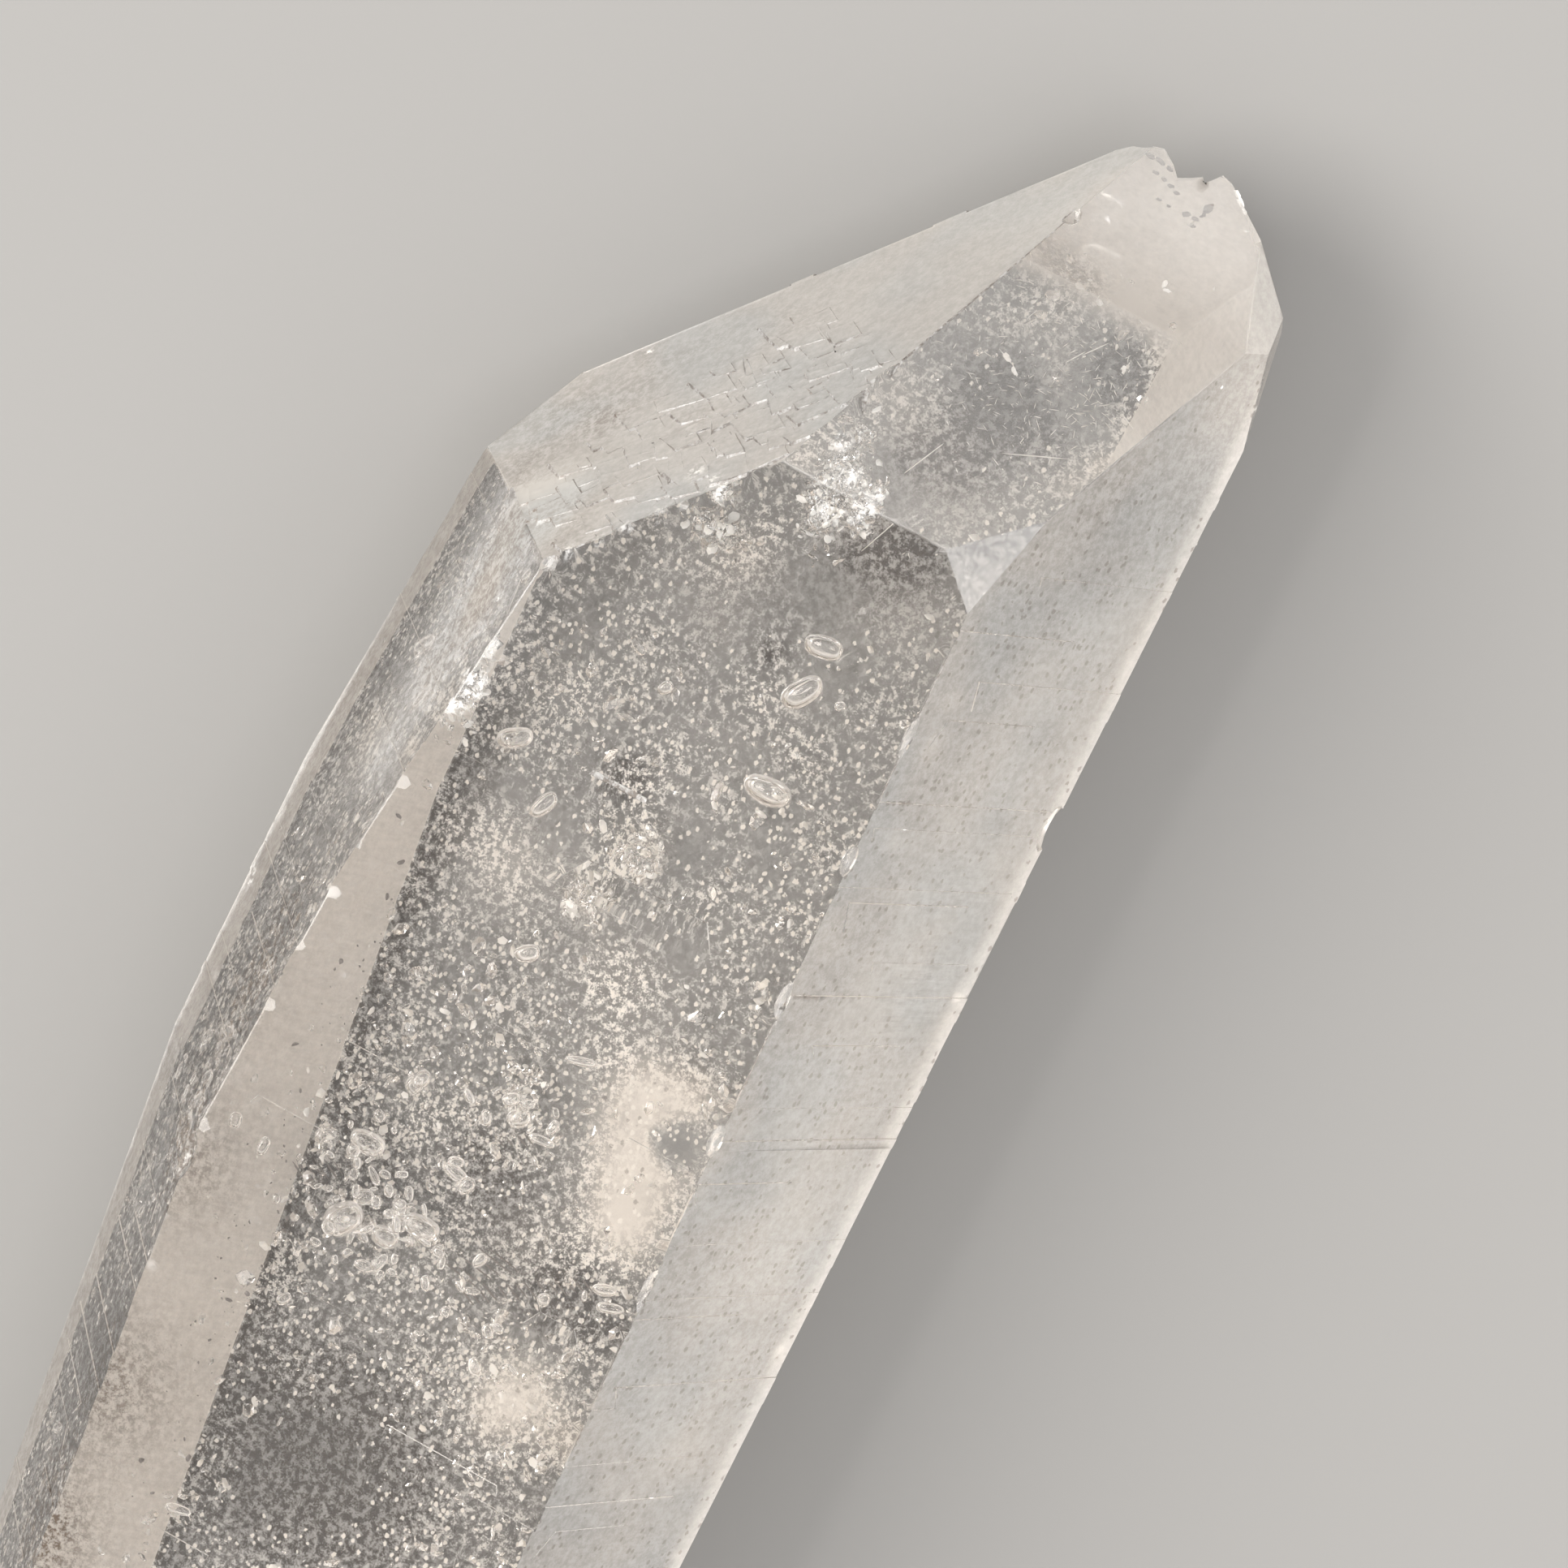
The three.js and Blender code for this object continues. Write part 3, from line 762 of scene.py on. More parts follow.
def split_edges(shape, names):
    """Points along every edge, close enough for the finer of its two faces."""
    points = [vertex.co.copy() for vertex in shape.verts]
    along = {}
    sharp = {}
    main = {}
    for edge in shape.edges:
        kinds = [names[face.index] for face in edge.link_faces]
        step = min(POINT_STEP.get(kind, OTHER_STEP) for kind in kinds)
        length = edge.calc_length()
        count = max(1, round(length / step))
        first, last = edge.verts
        ids = [first.index]
        for i in range(1, count):
            points.append(first.co.lerp(last.co, i / count))
            ids.append(len(points) - 1)
        ids.append(last.index)
        along[edge.index] = ids
        angle = math.degrees(edge.calc_face_angle(0))
        grown = "broken" not in kinds
        grown = grown and all(face.calc_area() > MAIN_FACE_AREA for face in edge.link_faces)
        main[edge.index] = length > MAIN_EDGE_LENGTH and angle > MAIN_EDGE_ANGLE and grown
        limit = BREAK_ANGLE if kinds.count("broken") == 2 else SHARP_ANGLE
        sharp[edge.index] = angle > limit and not main[edge.index]
    return points, along, sharp, main


def inside_outline(grid, outline):
    """Which grid points lie inside a closed outline, and how far each is from it."""
    x, y = grid.T
    inside = np.zeros(len(grid), bool)
    nearest = np.full(len(grid), np.inf)
    for (ax, ay), (bx, by) in zip(outline, np.roll(outline, -1, axis=0)):
        run = bx - ax
        rise = by - ay
        if rise:
            inside ^= ((ay > y) != (by > y)) & (x < run * (y - ay) / rise + ax)
        share = ((x - ax) * run + (y - ay) * rise) / max(run ** 2 + rise ** 2, 1e-12)
        share = np.clip(share, 0, 1)
        nearest = np.minimum(nearest, np.hypot(x - ax - share * run, y - ay - share * rise))
    return inside, nearest


def grid_points(outline, step, seed):
    """Evenly spread points inside an outline, slightly jittered, clear of the outline itself."""
    low = outline.min(0)
    high = outline.max(0)
    row_height = step * math.sqrt(3) / 2
    rows = int((high[1] - low[1]) / row_height) + 1
    columns = int((high[0] - low[0]) / step) + 2
    if rows * columns < 2:
        return np.zeros((0, 2))
    row, column = np.mgrid[0:rows, 0:columns]
    grid = np.stack([low[0] + (column + 0.5 * (row % 2)) * step, low[1] + (row + 0.5) * row_height], -1)
    grid = grid.reshape(-1, 2)
    grid += np.random.default_rng(seed).uniform(-POINT_JITTER, POINT_JITTER, grid.shape) * step
    inside, gap = inside_outline(grid, outline)
    return grid[inside & (gap > OUTLINE_CLEARANCE * step)]


def face_triangles(face, name, points, along, main, seed):
    """Fills one flat face with triangles; returns them and adds the new points to the list."""
    normal = face.normal
    side = normal.orthogonal().normalized()
    other = normal.cross(side)
    loop_ids = []
    round_rows = []
    for loop in face.loops:
        ids = along[loop.edge.index]
        if loop.vert.index != ids[0]:
            ids = ids[::-1]
        loop_ids.extend(ids[:-1])
        if main[loop.edge.index]:
            way = (points[ids[-1]] - points[ids[0]]).normalized()
            inward = normal.cross(way)
            round_rows.extend(points[i] + inward * EDGE_ROUND for i in ids[1:-1])

    def flat(point):
        return point.dot(side), point.dot(other)

    height = points[loop_ids[0]].dot(normal)
    outline = np.array([flat(points[i]) for i in loop_ids])
    step = POINT_STEP.get(name, OTHER_STEP)
    inner = grid_points(outline, step, seed)
    if round_rows:
        rows = np.array([flat(point) for point in round_rows])
        within, gap = inside_outline(rows, outline)
        inner = np.concatenate([inner, rows[within & (gap > EDGE_ROUND_KEPT * EDGE_ROUND)]])
    coords = [Vector(pair) for pair in np.concatenate([outline, inner])]
    boundary = [list(range(len(loop_ids)))]
    placed, _, triangles, origins, _, _ = geometry.delaunay_2d_cdt(coords, [], boundary, 1, 1e-7)
    ids = []
    for place, origin in zip(placed, origins):
        if origin and origin[0] < len(loop_ids):
            ids.append(loop_ids[origin[0]])
        else:
            points.append(side * place.x + other * place.y + normal * height)
            ids.append(len(points) - 1)
    result = []
    for triangle in triangles:
        a, b, c = (placed[i] for i in triangle)
        turned = (b - a).cross(c - a) < 0
        order = reversed(triangle) if turned else triangle
        result.append(tuple(ids[i] for i in order))
    return result


def is_ledge(face, names):
    """Whether a face is one of the small steps on the largest point face."""
    if names[face.index] == "near_left_upper" or face.calc_area() > LEDGE_MOST_AREA:
        return False
    return any(names[other.index] == "near_left_upper" for edge in face.edges for other in edge.link_faces)


def edge_light_line(beside):
    """Painted highlight line along a main edge, from the names of its two faces; a painted shade line where
    it is negative.
    """
    if beside == {"top", "right_upper"}:
        return -DARK_EDGE_SHADE
    if beside == {"rest", "near_rest"}:
        return 0.0
    return LEDGE_FACE_EDGE_HIGHLIGHT if "near_left_upper" in beside else EDGE_HIGHLIGHT


def dense_surface(mesh):
    """The dense surface and its facts.

    Returns the points, the triangles, each triangle's face name, each face's normal, the pairs of points
    along sharp edges, and the strength of the painted edge lines, highlight above zero and shade below, at
    each point of the main edges.
    """
    shape = flat_regions(mesh)
    for parts in (shape.verts, shape.edges, shape.faces):
        parts.index_update()
    names = [facet_name(face.normal) for face in shape.faces]
    for index in [face.index for face in shape.faces if is_ledge(face, names)]:
        names[index] = "ledge"
    normals = {}
    for face, name in zip(shape.faces, names):
        normals.setdefault(name, Vector())
        normals[name] += face.normal * face.calc_area()
    for name in normals:
        normals[name].normalize()
    points, along, sharp, main = split_edges(shape, names)
    triangles = []
    kinds = []
    for face in shape.faces:
        name = names[face.index]
        new = face_triangles(face, name, points, along, main, face.index)
        triangles.extend(new)
        kinds.extend([name] * len(new))
    sharp_pairs = set()
    edge_light = {}
    for edge in shape.edges:
        ids = along[edge.index]
        if sharp[edge.index]:
            sharp_pairs.update((min(pair), max(pair)) for pair in zip(ids, ids[1:]))
        if main[edge.index]:
            amount = edge_light_line({names[face.index] for face in edge.link_faces})
            edge_light.update((i, amount) for i in ids)
    shape.free()
    return points, triangles, kinds, normals, sharp_pairs, edge_light


# Relief: every face is lowered a little, by an amount that depends on how it grew

def wave(x, y, z):
    return noise.noise(Vector((x, y, z)))


def wave_at(point, scale):
    return wave(point.x * scale, point.y * scale, point.z * scale)


def make_ledges(face, top, left_upper):
    """Lapped growth plates: each has a corner whose two edges run with the face's own two long edges."""
    along_top = face.cross(top).normalized()
    along_left = face.cross(left_upper).normalized()
    random = np.random.default_rng(SEEDS["ledges"])
    ledges = []
    smooth = surface_point(SMOOTH_CORNER)
    centre = surface_point(LEDGE_CENTRE)
    long_spread, cross_spread = LEDGE_SPREADS
    low, high = LEDGE_LENGTHS
    for _ in range(LEDGE_COUNT):
        place = centre + along_top * random.normal() * long_spread
        place += face.cross(along_top) * random.normal() * cross_spread
        if random.random() > (place - smooth).length / SMOOTH_RADIUS:
            continue
        turn = Matrix.Rotation(random.normal() * LEDGE_TURN, 3, face)
        across_top = face.cross(turn @ along_top)
        across_left = face.cross(turn @ along_left)
        if across_top.dot(top) < 0:
            across_top.negate()
        if across_left.x < 0:
            across_left.negate()
        length = low + (high - low) * random.random() ** 2
        width = length * random.uniform(*LEDGE_WIDTHS)
        height = random.uniform(*LEDGE_HEIGHTS)
        ledges.append((place.dot(across_top), place.dot(across_left), across_top, across_left,
                       length, width, height))
    return ledges


def ledge_depth(point, ledges):
    """How far a point of the ledged face lies below its highest level."""
    raised = 0.0
    scale = LEDGE_WOBBLE_SCALE
    wobble = LEDGE_WOBBLE * wave(point.x * scale, point.y * scale, 3.0)
    for edge_a, edge_b, across_a, across_b, length, width, height in ledges:
        a = (edge_a - point.dot(across_a) + wobble) / width
        if a < 0 or a > 1:
            continue
        b = (edge_b - point.dot(across_b) - wobble) / length
        if b < 0 or b > 1:
            continue
        raised = max(raised, height * (1 - a) * (1 - b))
    swell = 0.5 + 0.35 * wave_at(point, LEDGE_SWELL_SCALE)
    scale = LEDGE_RIPPLE_SCALE
    ripple = 0.15 * wave(point.x * scale, point.y * scale, 4.0)
    return LEDGE_HEIGHTS[1] - raised + LEDGE_SWELL * (swell + ripple)


def striae_depth(point, depth):
    """Fine ridges across the long axis, which come and go along their length."""
    along, across = STRIAE_FINE
    fine = wave(point.x * along, point.y * across, point.z * across)
    along, across = STRIAE_BROAD
    broad = wave(point.x * along, point.y * across + 7, point.z * across)
    return depth * (1.0 + 0.6 * fine + 0.4 * broad)


def relief_depth(name, point, ledges):
    if name in ("near_left_upper", "ledge"):
        return ledge_depth(point, ledges)
    if name in STRIAE_DEPTH:
        return striae_depth(point, STRIAE_DEPTH[name])
    if name == "broken":
        return BREAK_DEPTH * (1 + wave_at(point, BREAK_SCALE))
    return FACE_DEPTH * (1 + wave_at(point, FACE_SCALE))


def carve_relief(points, triangles, kinds, normals):
    """Moves every point inward by the mean of what its faces ask for, so edges stay shared and closed."""
    ledges = make_ledges(normals["near_left_upper"], normals["top"], normals["left_upper"])
    asked = [{} for _ in points]
    for triangle, name in zip(triangles, kinds):
        a, b, c = (points[i] for i in triangle)
        normal = (b - a).cross(c - a)
        for i in triangle:
            asked[i].setdefault(name, Vector())
            asked[i][name] += normal
    for i, wishes in enumerate(asked):
        move = Vector()
        for name, normal in wishes.items():
            move -= normal.normalized() * relief_depth(name, points[i], ledges)
        if wishes:
            points[i] = points[i] + move / len(wishes)
            points[i].z = max(points[i].z, 0.0)


# Finish of each kind of face: milky film and painted light, etched frost, growth lines, pale flakes, and dark
# stain and painted shade

def spots_at(places, spots):
    """Sum of soft round spots, each a centre, a radius and a strength, at many places."""
    total = np.zeros(len(places))
    for centre, radius, strength in spots:
        gap2 = ((places - np.array(centre)) ** 2).sum(1)
        total += strength * np.exp(-gap2 / radius ** 2)
    return total


def add_spots(column, places, spots_by_key, find, share):
    """Adds spots, at the points that find gives for their pixels, to the corners that share marks."""
    for key, spots in spots_by_key.items():
        placed = [(find(pixel), radius, strength) for pixel, radius, strength in spots]
        column[key] += share * spots_at(places, placed)


def ramp(values):
    return np.clip(values, 0, 1)


def gap_to_face(places, on_face, normal):
    """How far each place lies behind the flat face that the marked places belong to."""
    along = places @ np.array(normal)
    return along[on_face].max() - along


def finish_rest_face(column, places, on, normals):
    """Darker and more flaked towards the far point, and darker by its left edge, with stain and painted
    shade; milky at its near end, partly painted light.
    """
    on_rest = on["rest"]
    down = ramp((REST_CLEAR_X - places[:, 0]) / REST_DARK_SPAN)
    column["stain_and_shade"] += on_rest * REST_DARK_STAIN_AND_SHADE * down
    column["grain"] += on_rest * REST_DARK_GRAIN * down
    left = gap_to_face(places, on["left_lower"], normals["left_lower"])
    column["stain_and_shade"] += on_rest * REST_SIDE_STAIN_AND_SHADE * ramp(REST_SIDE_CORE - left / REST_SIDE_SPAN)
    rest_end = places[on_rest, 0].max()
    kept = np.where(on_rest, ramp((rest_end - places[:, 0]) / REST_END_FADE), 1.0)
    for key in ("cloud", "stain_and_shade", "grain", "pits"):
        column[key] *= kept
    column["haze_and_painted_light"] += (1 - kept) * (FINISH["near_rest"][0] - column["haze_and_painted_light"])


def finish_values(places, kinds, normals):
    """The finish of every triangle corner, with one column for each attribute."""
    names = sorted(set(kinds))
    base = np.array([FINISH.get(name, FINISH["far"] if name.startswith("far_") else FINISH["other"])
                     for name in names])
    which = np.array([names.index(kind) for kind in kinds])
    values = np.repeat(base[which], 3, axis=0)
    column = {name: values[:, i] for i, name in enumerate(FINISH_COLUMNS)}
    on = {name: np.repeat(which == names.index(name), 3) for name in names}
    swell = np.array([wave(*(place * SWELL_SCALE)) for place in places])
    below = on["rest"] | on["near_rest"]
    add_spots(column, places, UNDER_SPOTS, far_side, below)
    column["cloud"] *= 1 + CLOUD_SWING * swell
    finish_rest_face(column, places, on, normals)
    add_spots(column, places, NEAR_SPOTS, surface_point, ~below)
    away = ramp((LEDGE_FACE_CLEAR_X - places[:, 0]) / LEDGE_FACE_SPAN)
    column["stain_and_shade"] += on["near_left_upper"] * away * ramp(LEDGE_FACE_MOTTLE * swell)
    for name, neighbour, width, haze_and_painted_light, pale in BANDS:
        gap = gap_to_face(places, on[neighbour], normals[neighbour])
        share = on[name] * ramp(BAND_CORE - gap / width)
        column["haze_and_painted_light"] += haze_and_painted_light * share
        column["pale"] += pale * share
        column["stain_and_shade"] *= 1 - share
    column["haze_and_painted_light"] += on["near_top"] * TIP_MILK_AND_PAINTED_LIGHT * ramp((places[:, 0] - TIP_FROM_X) / TIP_SPAN)
    column["haze_and_painted_light"] += FAR_END_MILK_AND_PAINTED_LIGHT * ramp((FAR_END_FROM_X - places[:, 0]) / FAR_END_SPAN)
    return np.clip(values, 0, FINISH_MOST)


def add_edge_light_lines(values, points, triangles, edge_light):
    """A thin broken line along the main edges: haze as painted highlight where the line is white, stain as
    painted shade where it is dark.
    """
    edge_lines = {}
    for i, amount in edge_light.items():
        share = EDGE_LINE_LEVEL + EDGE_LINE_SWING * wave(*(points[i] * EDGE_LINE_SCALE))
        edge_lines[i] = amount * max(0.0, min(1.0, share))
    line = np.array([edge_lines.get(i, 0.0) for triangle in triangles for i in triangle])
    values[:, FINISH_COLUMNS.index("haze_and_painted_light")] += np.maximum(line, 0)
    values[:, FINISH_COLUMNS.index("stain_and_shade")] -= np.minimum(line, 0)


def tone_values(points, triangles):
    """How cool the milky film is at every triangle corner, from 0, warm, to 1, cool."""
    tones = [min(1.0, max(0.0, 0.5 + TONE_SWING * wave_at(point, TONE_SCALE))) for point in points]
    return np.array(tones)[np.array(triangles).ravel()]


def camera_ray(pixel):
    """The line of sight through one pixel of the photograph, in millimetres."""
    eye = (CAMERA_TARGET + CAMERA_BACK * CAMERA_DISTANCE) / MM
    right, up = camera_axes()
    half = CAMERA_SENSOR / 2 / CAMERA_LENS
    u = (pixel[0] / PHOTO_SIZE * 2 - 1) * half
    v = (1 - pixel[1] / PHOTO_SIZE * 2) * half
    return eye, (right * u + up * v - CAMERA_BACK).normalized()


def inner_ray(pixel):
    """Where that line of sight enters the crystal, and the way it goes on inside."""
    eye, way = camera_ray(pixel)
    hit, normal, _, _ = surface_tree.ray_cast(eye, way)
    if hit is None:
        raise ValueError(f"pixel {pixel} doesn't look at the crystal")
    facing = -way.dot(normal)
    bend = facing / QUARTZ_IOR - math.sqrt(1 - (1 - facing ** 2) / QUARTZ_IOR ** 2)
    return hit, (way / QUARTZ_IOR + normal * bend).normalized()


def surface_point(pixel):
    return inner_ray(pixel)[0]


def on_rest_face(pixel):
    start, way = inner_ray(pixel)
    return start - way * (start.z / way.z)


def far_side(pixel):
    """Where that line of sight leaves the crystal again, below."""
    start, way = inner_ray(pixel)
    return surface_tree.ray_cast(start + way * 0.01, way)[0]


def inside_at(pixel, height):
    """The point that a pixel shows at some height above the resting face."""
    start, way = inner_ray(pixel)
    return start + way * ((height - start.z) / way.z)


def add_layer(mesh, name, kind, domain, values):
    mesh.attributes.new(name, kind, domain).data.foreach_set("value", values)


def make_crystal():
    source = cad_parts[CRYSTAL_NODE]
    points, triangles, kinds, normals, sharp_pairs, edge_light = dense_surface(source.data)
    carve_relief(points, triangles, kinds, normals)
    mesh = bpy.data.meshes.new("crystal_surface")
    mesh.from_pydata([point * MM for point in points], [], triangles)
    mesh.shade_smooth()
    edge_ids = np.zeros(len(mesh.edges) * 2, int)
    mesh.edges.foreach_get("vertices", edge_ids)
    flags = [(min(a, b), max(a, b)) in sharp_pairs for a, b in edge_ids.reshape(-1, 2).tolist()]
    add_layer(mesh, "sharp_edge", "BOOLEAN", "EDGE", flags)
    places = np.array([points[i] for triangle in triangles for i in triangle])
    values = finish_values(places, kinds, normals)
    add_edge_light_lines(values, points, triangles, edge_light)
    for name, column in zip(FINISH_COLUMNS, values.T):
        add_layer(mesh, name, "FLOAT", "CORNER", column.astype(np.float32))
    add_layer(mesh, "tone", "FLOAT", "CORNER", tone_values(points, triangles).astype(np.float32))
    crystal = add_piece("crystal_surface", mesh, quartz_material())
    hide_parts(CRYSTAL_NODE)


# Inclusions: small closed shapes inside the crystal

def unit_ball(level):
    """Corners and triangles of a ball of radius 1."""
    ball = bmesh.new()
    bmesh.ops.create_icosphere(ball, subdivisions=level, radius=1.0)
    corners = np.array([vertex.co for vertex in ball.verts])
    triangles = np.array([[vertex.index for vertex in face.verts] for face in ball.faces])
    ball.free()
    return corners, triangles


class Lumps:
    """Collects many small closed shapes, in millimetres, and makes one piece of them."""

    def __init__(self, name):
        self.name = name
        self.random = np.random.default_rng(SEEDS[name])
        self.corners = []
        self.triangles = []
        self.painted_rims = []
        self.count = 0
        self.balls = {level: unit_ball(level) for level in (1, 2, 3)}

    def add(self, centre, size, turn=None, level=1, jitter=0.15, squareness=2.0, swell=0.0, painted_rim=0.0):
        """One lump with three half sizes.

        Turn is a 3 by 3 rotation, or None for any. Squareness 2 is round and 4 boxy. The painted rim is how
        white the band round its middle is, a painted reflection.
        """
        corners, triangles = self.balls[level]
        shape = corners.copy()
        if squareness != 2.0:
            shape /= ((np.abs(shape) ** squareness).sum(1) ** (1 / squareness))[:, None]
        shape *= 1 + self.random.uniform(-jitter, jitter, (len(shape), 1))
        if swell:
            phase = self.random.uniform(0, 6.28, 3)
            shape *= 1 + swell * np.sin(SWELL_WAVES * corners + phase).sum(1, keepdims=True) / 2
        shape *= np.array(size)
        if turn is None:
            turn = self.any_turn()
        self.painted_rims.append(painted_rim * np.clip(PAINTED_RIM_LEVEL - np.abs(corners[:, 2]) * PAINTED_RIM_FALL, 0, 1))
        self.corners.append(shape @ turn.T + np.array(centre))
        self.triangles.append(triangles + self.count)
        self.count += len(shape)

    def any_turn(self):
        q, _ = np.linalg.qr(self.random.normal(size=(3, 3)))
        return q * np.sign(np.linalg.det(q))

    def finish(self, material, smooth):
        mesh = bpy.data.meshes.new(self.name)
        mesh.from_pydata((np.concatenate(self.corners) * MM).tolist(), [],
                         np.concatenate(self.triangles).tolist())
        if smooth:
            mesh.shade_smooth()
        add_layer(mesh, "painted_rim", "FLOAT", "POINT", np.concatenate(self.painted_rims).astype(np.float32))
        add_piece(self.name, mesh, material)


def cavity_material():
    """The wall of a gas filled cavity: seen from the quartz, the light passes to a thinner medium. A white
    band, where asked for, is a painted reflection.
    """
    material, tools = new_material("cavity_wall")
    tools.fill("Principled BSDF", {
        "Base Color": (1, 1, 1, 1),
        "Roughness": CAVITY_ROUGHNESS,
        "IOR": 1 / QUARTZ_IOR,
        "Transmission Weight": tools.one_minus(tools.attribute("painted_rim"), clamp=True),
    })
    return material


def grain_material():
    """Tiny white flakes and healed cracks."""
    material, tools = new_material("white_grain")
    color = tools.mix(tools.step(tools.noise(GRAIN_TONE_SCALE), GRAIN_TONE_LEVELS), GRAIN_WARM, GRAIN_WHITE)
    tools.fill("Principled BSDF", {"Base Color": color, "Roughness": GRAIN_ROUGHNESS, "IOR": GRAIN_IOR})
    return material


def dark_material():
    material, tools = new_material("dark_speck")
    color = tools.mix(tools.noise(SPECK_TONE_SCALE, detail=1.0), SPECK_DARK, SPECK_LIGHT)
    tools.fill("Principled BSDF", {"Base Color": color, "Roughness": SPECK_ROUGHNESS})
    return material


def room_at(point):
    """How far a point inside the crystal is from its surface; negative outside."""
    place, normal, _, distance = surface_tree.find_nearest(point)
    return distance if (place - point).dot(normal) > 0 else -distance


def level_turn(angle, tilt=0.0):
    """A shape's long side turned by an angle in the photograph's plane, lying nearly level."""
    right, _ = camera_axes()
    along = Vector((right.x, right.y, 0)).normalized()
    along.rotate(Matrix.Rotation(math.radians(angle), 3, "Z"))
    turn = Matrix((along, Vector((0, 0, 1)).cross(along), Vector((0, 0, 1)))).transposed()
    return np.array(turn @ Matrix.Rotation(math.radians(tilt), 3, "X"))


def moved_level(place, offset):
    """A place moved level by two distances."""
    return place + Vector((offset[0], offset[1], 0))


def make_bubbles():
    """The large cavities, and crowds of smaller ones around some of them."""
    lumps = Lumps("bubbles")
    random = lumps.random
    for pixel, height, length, width, angle in BUBBLES:
        centre = inside_at(pixel, height)
        if room_at(centre) > length / 2 * BUBBLE_ROOM:
            lumps.add(centre, (length / 2, width / 2, width / 2), level_turn(angle, BUBBLE_TILT), level=3,
                      squareness=2.5, jitter=0.0, swell=0.10, painted_rim=PAINTED_RIM_COVER)
    for pixel, spread, number in BUBBLE_SWARMS:
        for _ in range(number):
            height = random.uniform(*SWARM_HEIGHTS)
            offset = random.normal(size=2) * spread
            centre = moved_level(inside_at(pixel, height), offset)
            length = random.uniform(*SWARM_LENGTHS)
            width = length * random.uniform(*SWARM_WIDTHS)
            if room_at(centre) > length:
                turn = level_turn(random.uniform(0, 180), random.uniform(*SWARM_TILTS))
                lumps.add(centre, (length / 2, width / 2, width / 2.4), turn, level=2, jitter=0.02,
                          squareness=2.6, swell=0.15, painted_rim=PAINTED_RIM_COVER)
    lumps.finish(cavity_material(), smooth=True)


def density_at(x, y, swarms):
    """Share of tries that leave a grain at a place above the resting face."""
    down = min(1.0, max(0.0, (GRAIN_CLEAR_X - x) / GRAIN_DENSE_SPAN))
    cloud = GRAIN_CLOUD_LEVEL
    for scale_x, scale_y, layer, strength in GRAIN_CLOUDS:
        cloud += strength * wave(x * scale_x, y * scale_y, layer)
    least, more = GRAIN_SHARES
    share = max(0.0, min(1.0, cloud)) * (least + more * down)
    for centre, radius, strength in swarms:
        gap2 = (x - centre.x) ** 2 + (y - centre.y) ** 2
        if gap2 < 4 * radius ** 2:
            share += strength * math.exp(-gap2 / radius ** 2)
    return share


def make_grains():
    """Thousands of small pale flakes and cavities, densest low down and towards the far point."""
    grains = Lumps("grains")
    hollows = Lumps("small_cavities")
    low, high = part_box(CRYSTAL_NODE)
    random = grains.random
    swarms = [(on_rest_face(pixel), radius, strength) for pixel, radius, strength in GRAIN_SWARMS]
    for _ in range(GRAIN_TRIES):
        x = random.uniform(low.x, high.x) / MM
        y = random.uniform(low.y, high.y) / MM
        z = GRAIN_LOWEST + random.exponential(GRAIN_MEAN_RISE)
        if random.random() > density_at(x, y, swarms):
            continue
        centre = Vector((x, y, z))
        size = min(GRAIN_SMALLEST + random.exponential(GRAIN_MEAN_EXCESS), GRAIN_LARGEST)
        if room_at(centre) < size + GRAIN_CLEARANCE:
            continue
        shape = np.array([1.0, random.uniform(*GRAIN_WIDTHS), random.uniform(*GRAIN_THICKNESSES)]) * size
        if random.random() < HOLLOW_SHARE:
            hollows.add(centre, shape * HOLLOW_SCALE, level=1, jitter=0.3)
        else:
            grains.add(centre, shape * GRAIN_SCALE, level=1, jitter=0.4)
    grains.finish(grain_material(), smooth=False)
    hollows.finish(cavity_material(), smooth=False)


def make_bruises():
    """Bright healed cracks: swarms of thin crumpled plates with gas in them."""
    plates = Lumps("healed_cracks")
    crumbs = Lumps("crack_crumbs")
    for pixel, height, spread_x, spread_y, number in BRUISES:
        for i in range(number):
            offset = plates.random.normal(size=3) * (spread_x, spread_y, BRUISE_DEPTH_SPREAD)
            way = np.array(level_turn(BRUISE_ANGLE)) @ offset
            centre = inside_at(pixel, height) + Vector(way)
            size = plates.random.uniform(*PLATE_SIZES)
            if room_at(centre) < size * 0.5 + PLATE_CLEARANCE:
                continue
            if i % 3:
                plates.add(centre, PLATE_SHAPE * size, level=1, jitter=0.25)
            else:
                crumbs.add(centre, CRUMB_SHAPE * size, level=2, jitter=0.22)
    for pixel, depth, size, angle in CHIPS:
        start, way = inner_ray(pixel)
        crumbs.add(start + way * depth, (size, size / 2, CHIP_THICKNESS), level_turn(angle), level=2,
                   jitter=0.3)
    plates.finish(cavity_material(), smooth=False)
    crumbs.finish(grain_material(), smooth=False)


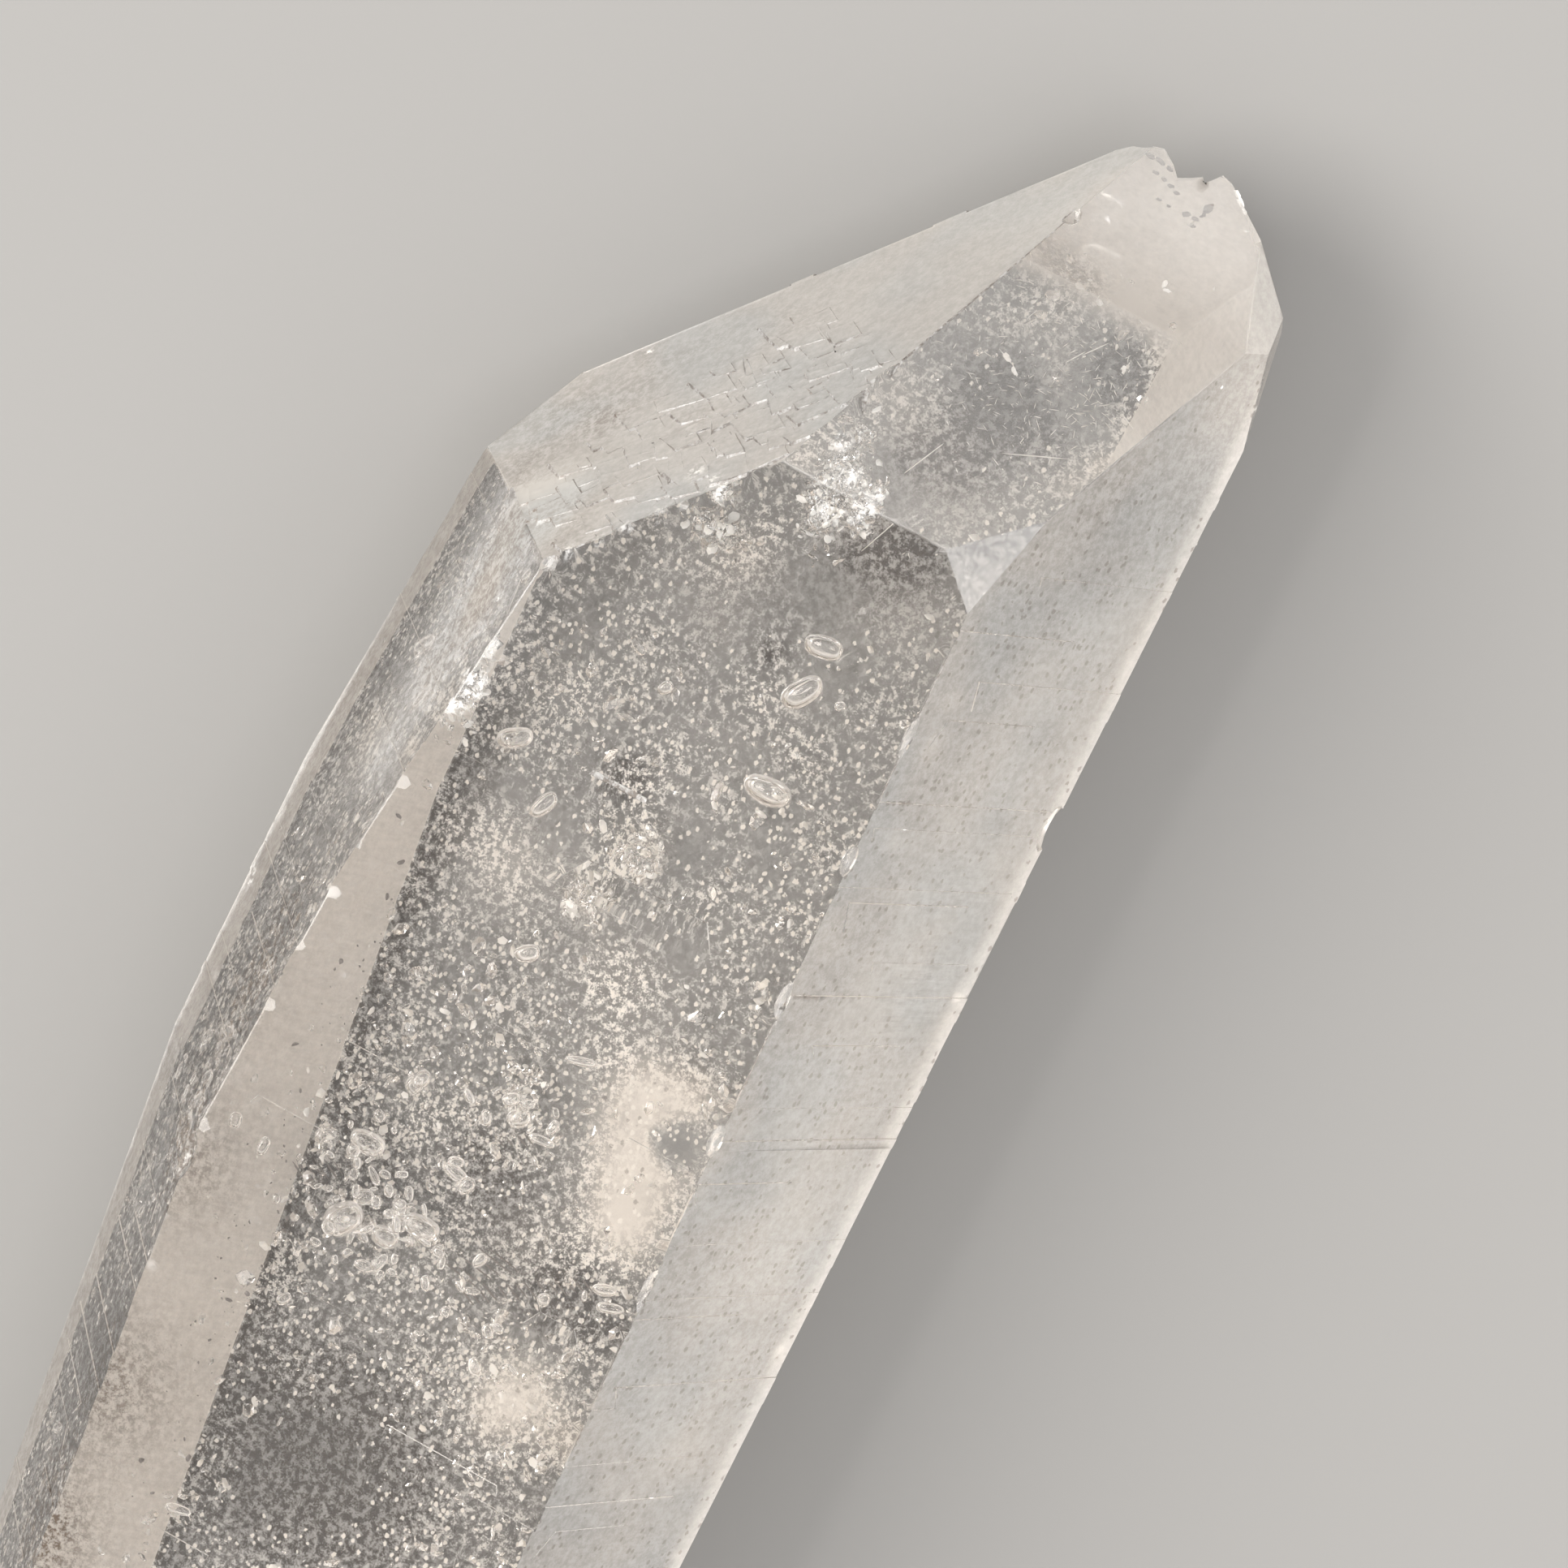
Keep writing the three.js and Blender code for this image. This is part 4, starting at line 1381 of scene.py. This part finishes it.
def make_wisps():
    """Fine white threads, hairlines and splinters inside the near point."""
    threads = Lumps("wisps")
    for pixel, height, length, angle in WISPS:
        centre = inside_at(pixel, height)
        if room_at(centre) > THREAD_CLEARANCE:
            threads.add(centre, (length / 2, THREAD_THICKNESS, THREAD_THICKNESS), level_turn(angle),
                        level=2, jitter=0.1)
    random = threads.random
    for pixel, spread, number in WISP_SWARMS:
        for _ in range(number):
            offset = random.normal(size=2) * spread
            centre = moved_level(inside_at(pixel, random.uniform(*SPLINTER_HEIGHTS)), offset)
            length = random.uniform(*SPLINTER_LENGTHS)
            if room_at(centre) > length / 2 + CLEARANCE:
                threads.add(centre, (length / 2, *SPLINTER_THICKNESS), level=1, jitter=0.35)
    threads.finish(grain_material(), smooth=True)


def make_dark_specks():
    """Dark specks in the clear band along the left side, smudges near the crest, and parallel strokes."""
    specks = Lumps("dark_specks")
    random = specks.random
    for start, end, number in SPECK_LINES:
        for _ in range(number):
            share = random.random()
            pixel = [a + (b - a) * share + random.normal() * SPECK_LINE_SPREAD for a, b in zip(start, end)]
            centre = inside_at(pixel, random.uniform(*SPECK_HEIGHTS))
            size = SPECK_SMALLEST + random.exponential(SPECK_MEAN_EXCESS)
            if room_at(centre) > size + CLEARANCE:
                specks.add(centre, SPECK_SHAPE * size, level=1, jitter=0.3)
    for pixel, depth, size, angle in CREST_SPECKS:
        start, way = inner_ray(pixel)
        centre = start + way * depth
        if room_at(centre) > CREST_CLEARANCE:
            half, side = (size * share for share in CREST_SHAPE)
            specks.add(centre, (half, side, CREST_THICKNESS), level_turn(angle), level=2, jitter=0.3)
    for pixel, number, gap, length, angle in HATCHES:
        turn = level_turn(angle)
        for i in range(number):
            away = (i - number / 2) * gap + random.normal() * STROKE_JITTER
            shift = turn @ np.array((away * STROKE_SLANT, away, 0.0))
            centre = inside_at(pixel, STROKE_HEIGHT) + Vector(shift)
            half = length * random.uniform(*STROKE_HALVES)
            if room_at(centre) > CLEARANCE:
                specks.add(centre, (half, *STROKE_THICKNESS), turn, level=2, jitter=0.2)
    specks.finish(dark_material(), smooth=False)


def set_light_paths():
    """Plain colours, and enough bounces for light to pass the crystal's faces and cavities."""
    scene = bpy.context.scene
    scene.view_settings.view_transform = "Standard"
    for name, number in BOUNCES.items():
        setattr(scene.cycles, name, number)


# The solid's outside, in millimetres, for lines of sight and for the room around each inclusion
cad_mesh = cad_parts[CRYSTAL_NODE].data
surface_tree = BVHTree.FromPolygons([vertex.co / MM for vertex in cad_mesh.vertices],
                                    [tuple(face.vertices) for face in cad_mesh.polygons])
make_camera()
make_floor()
make_lights()
make_crystal()
make_bubbles()
make_grains()
make_bruises()
make_wisps()
make_dark_specks()
set_light_paths()
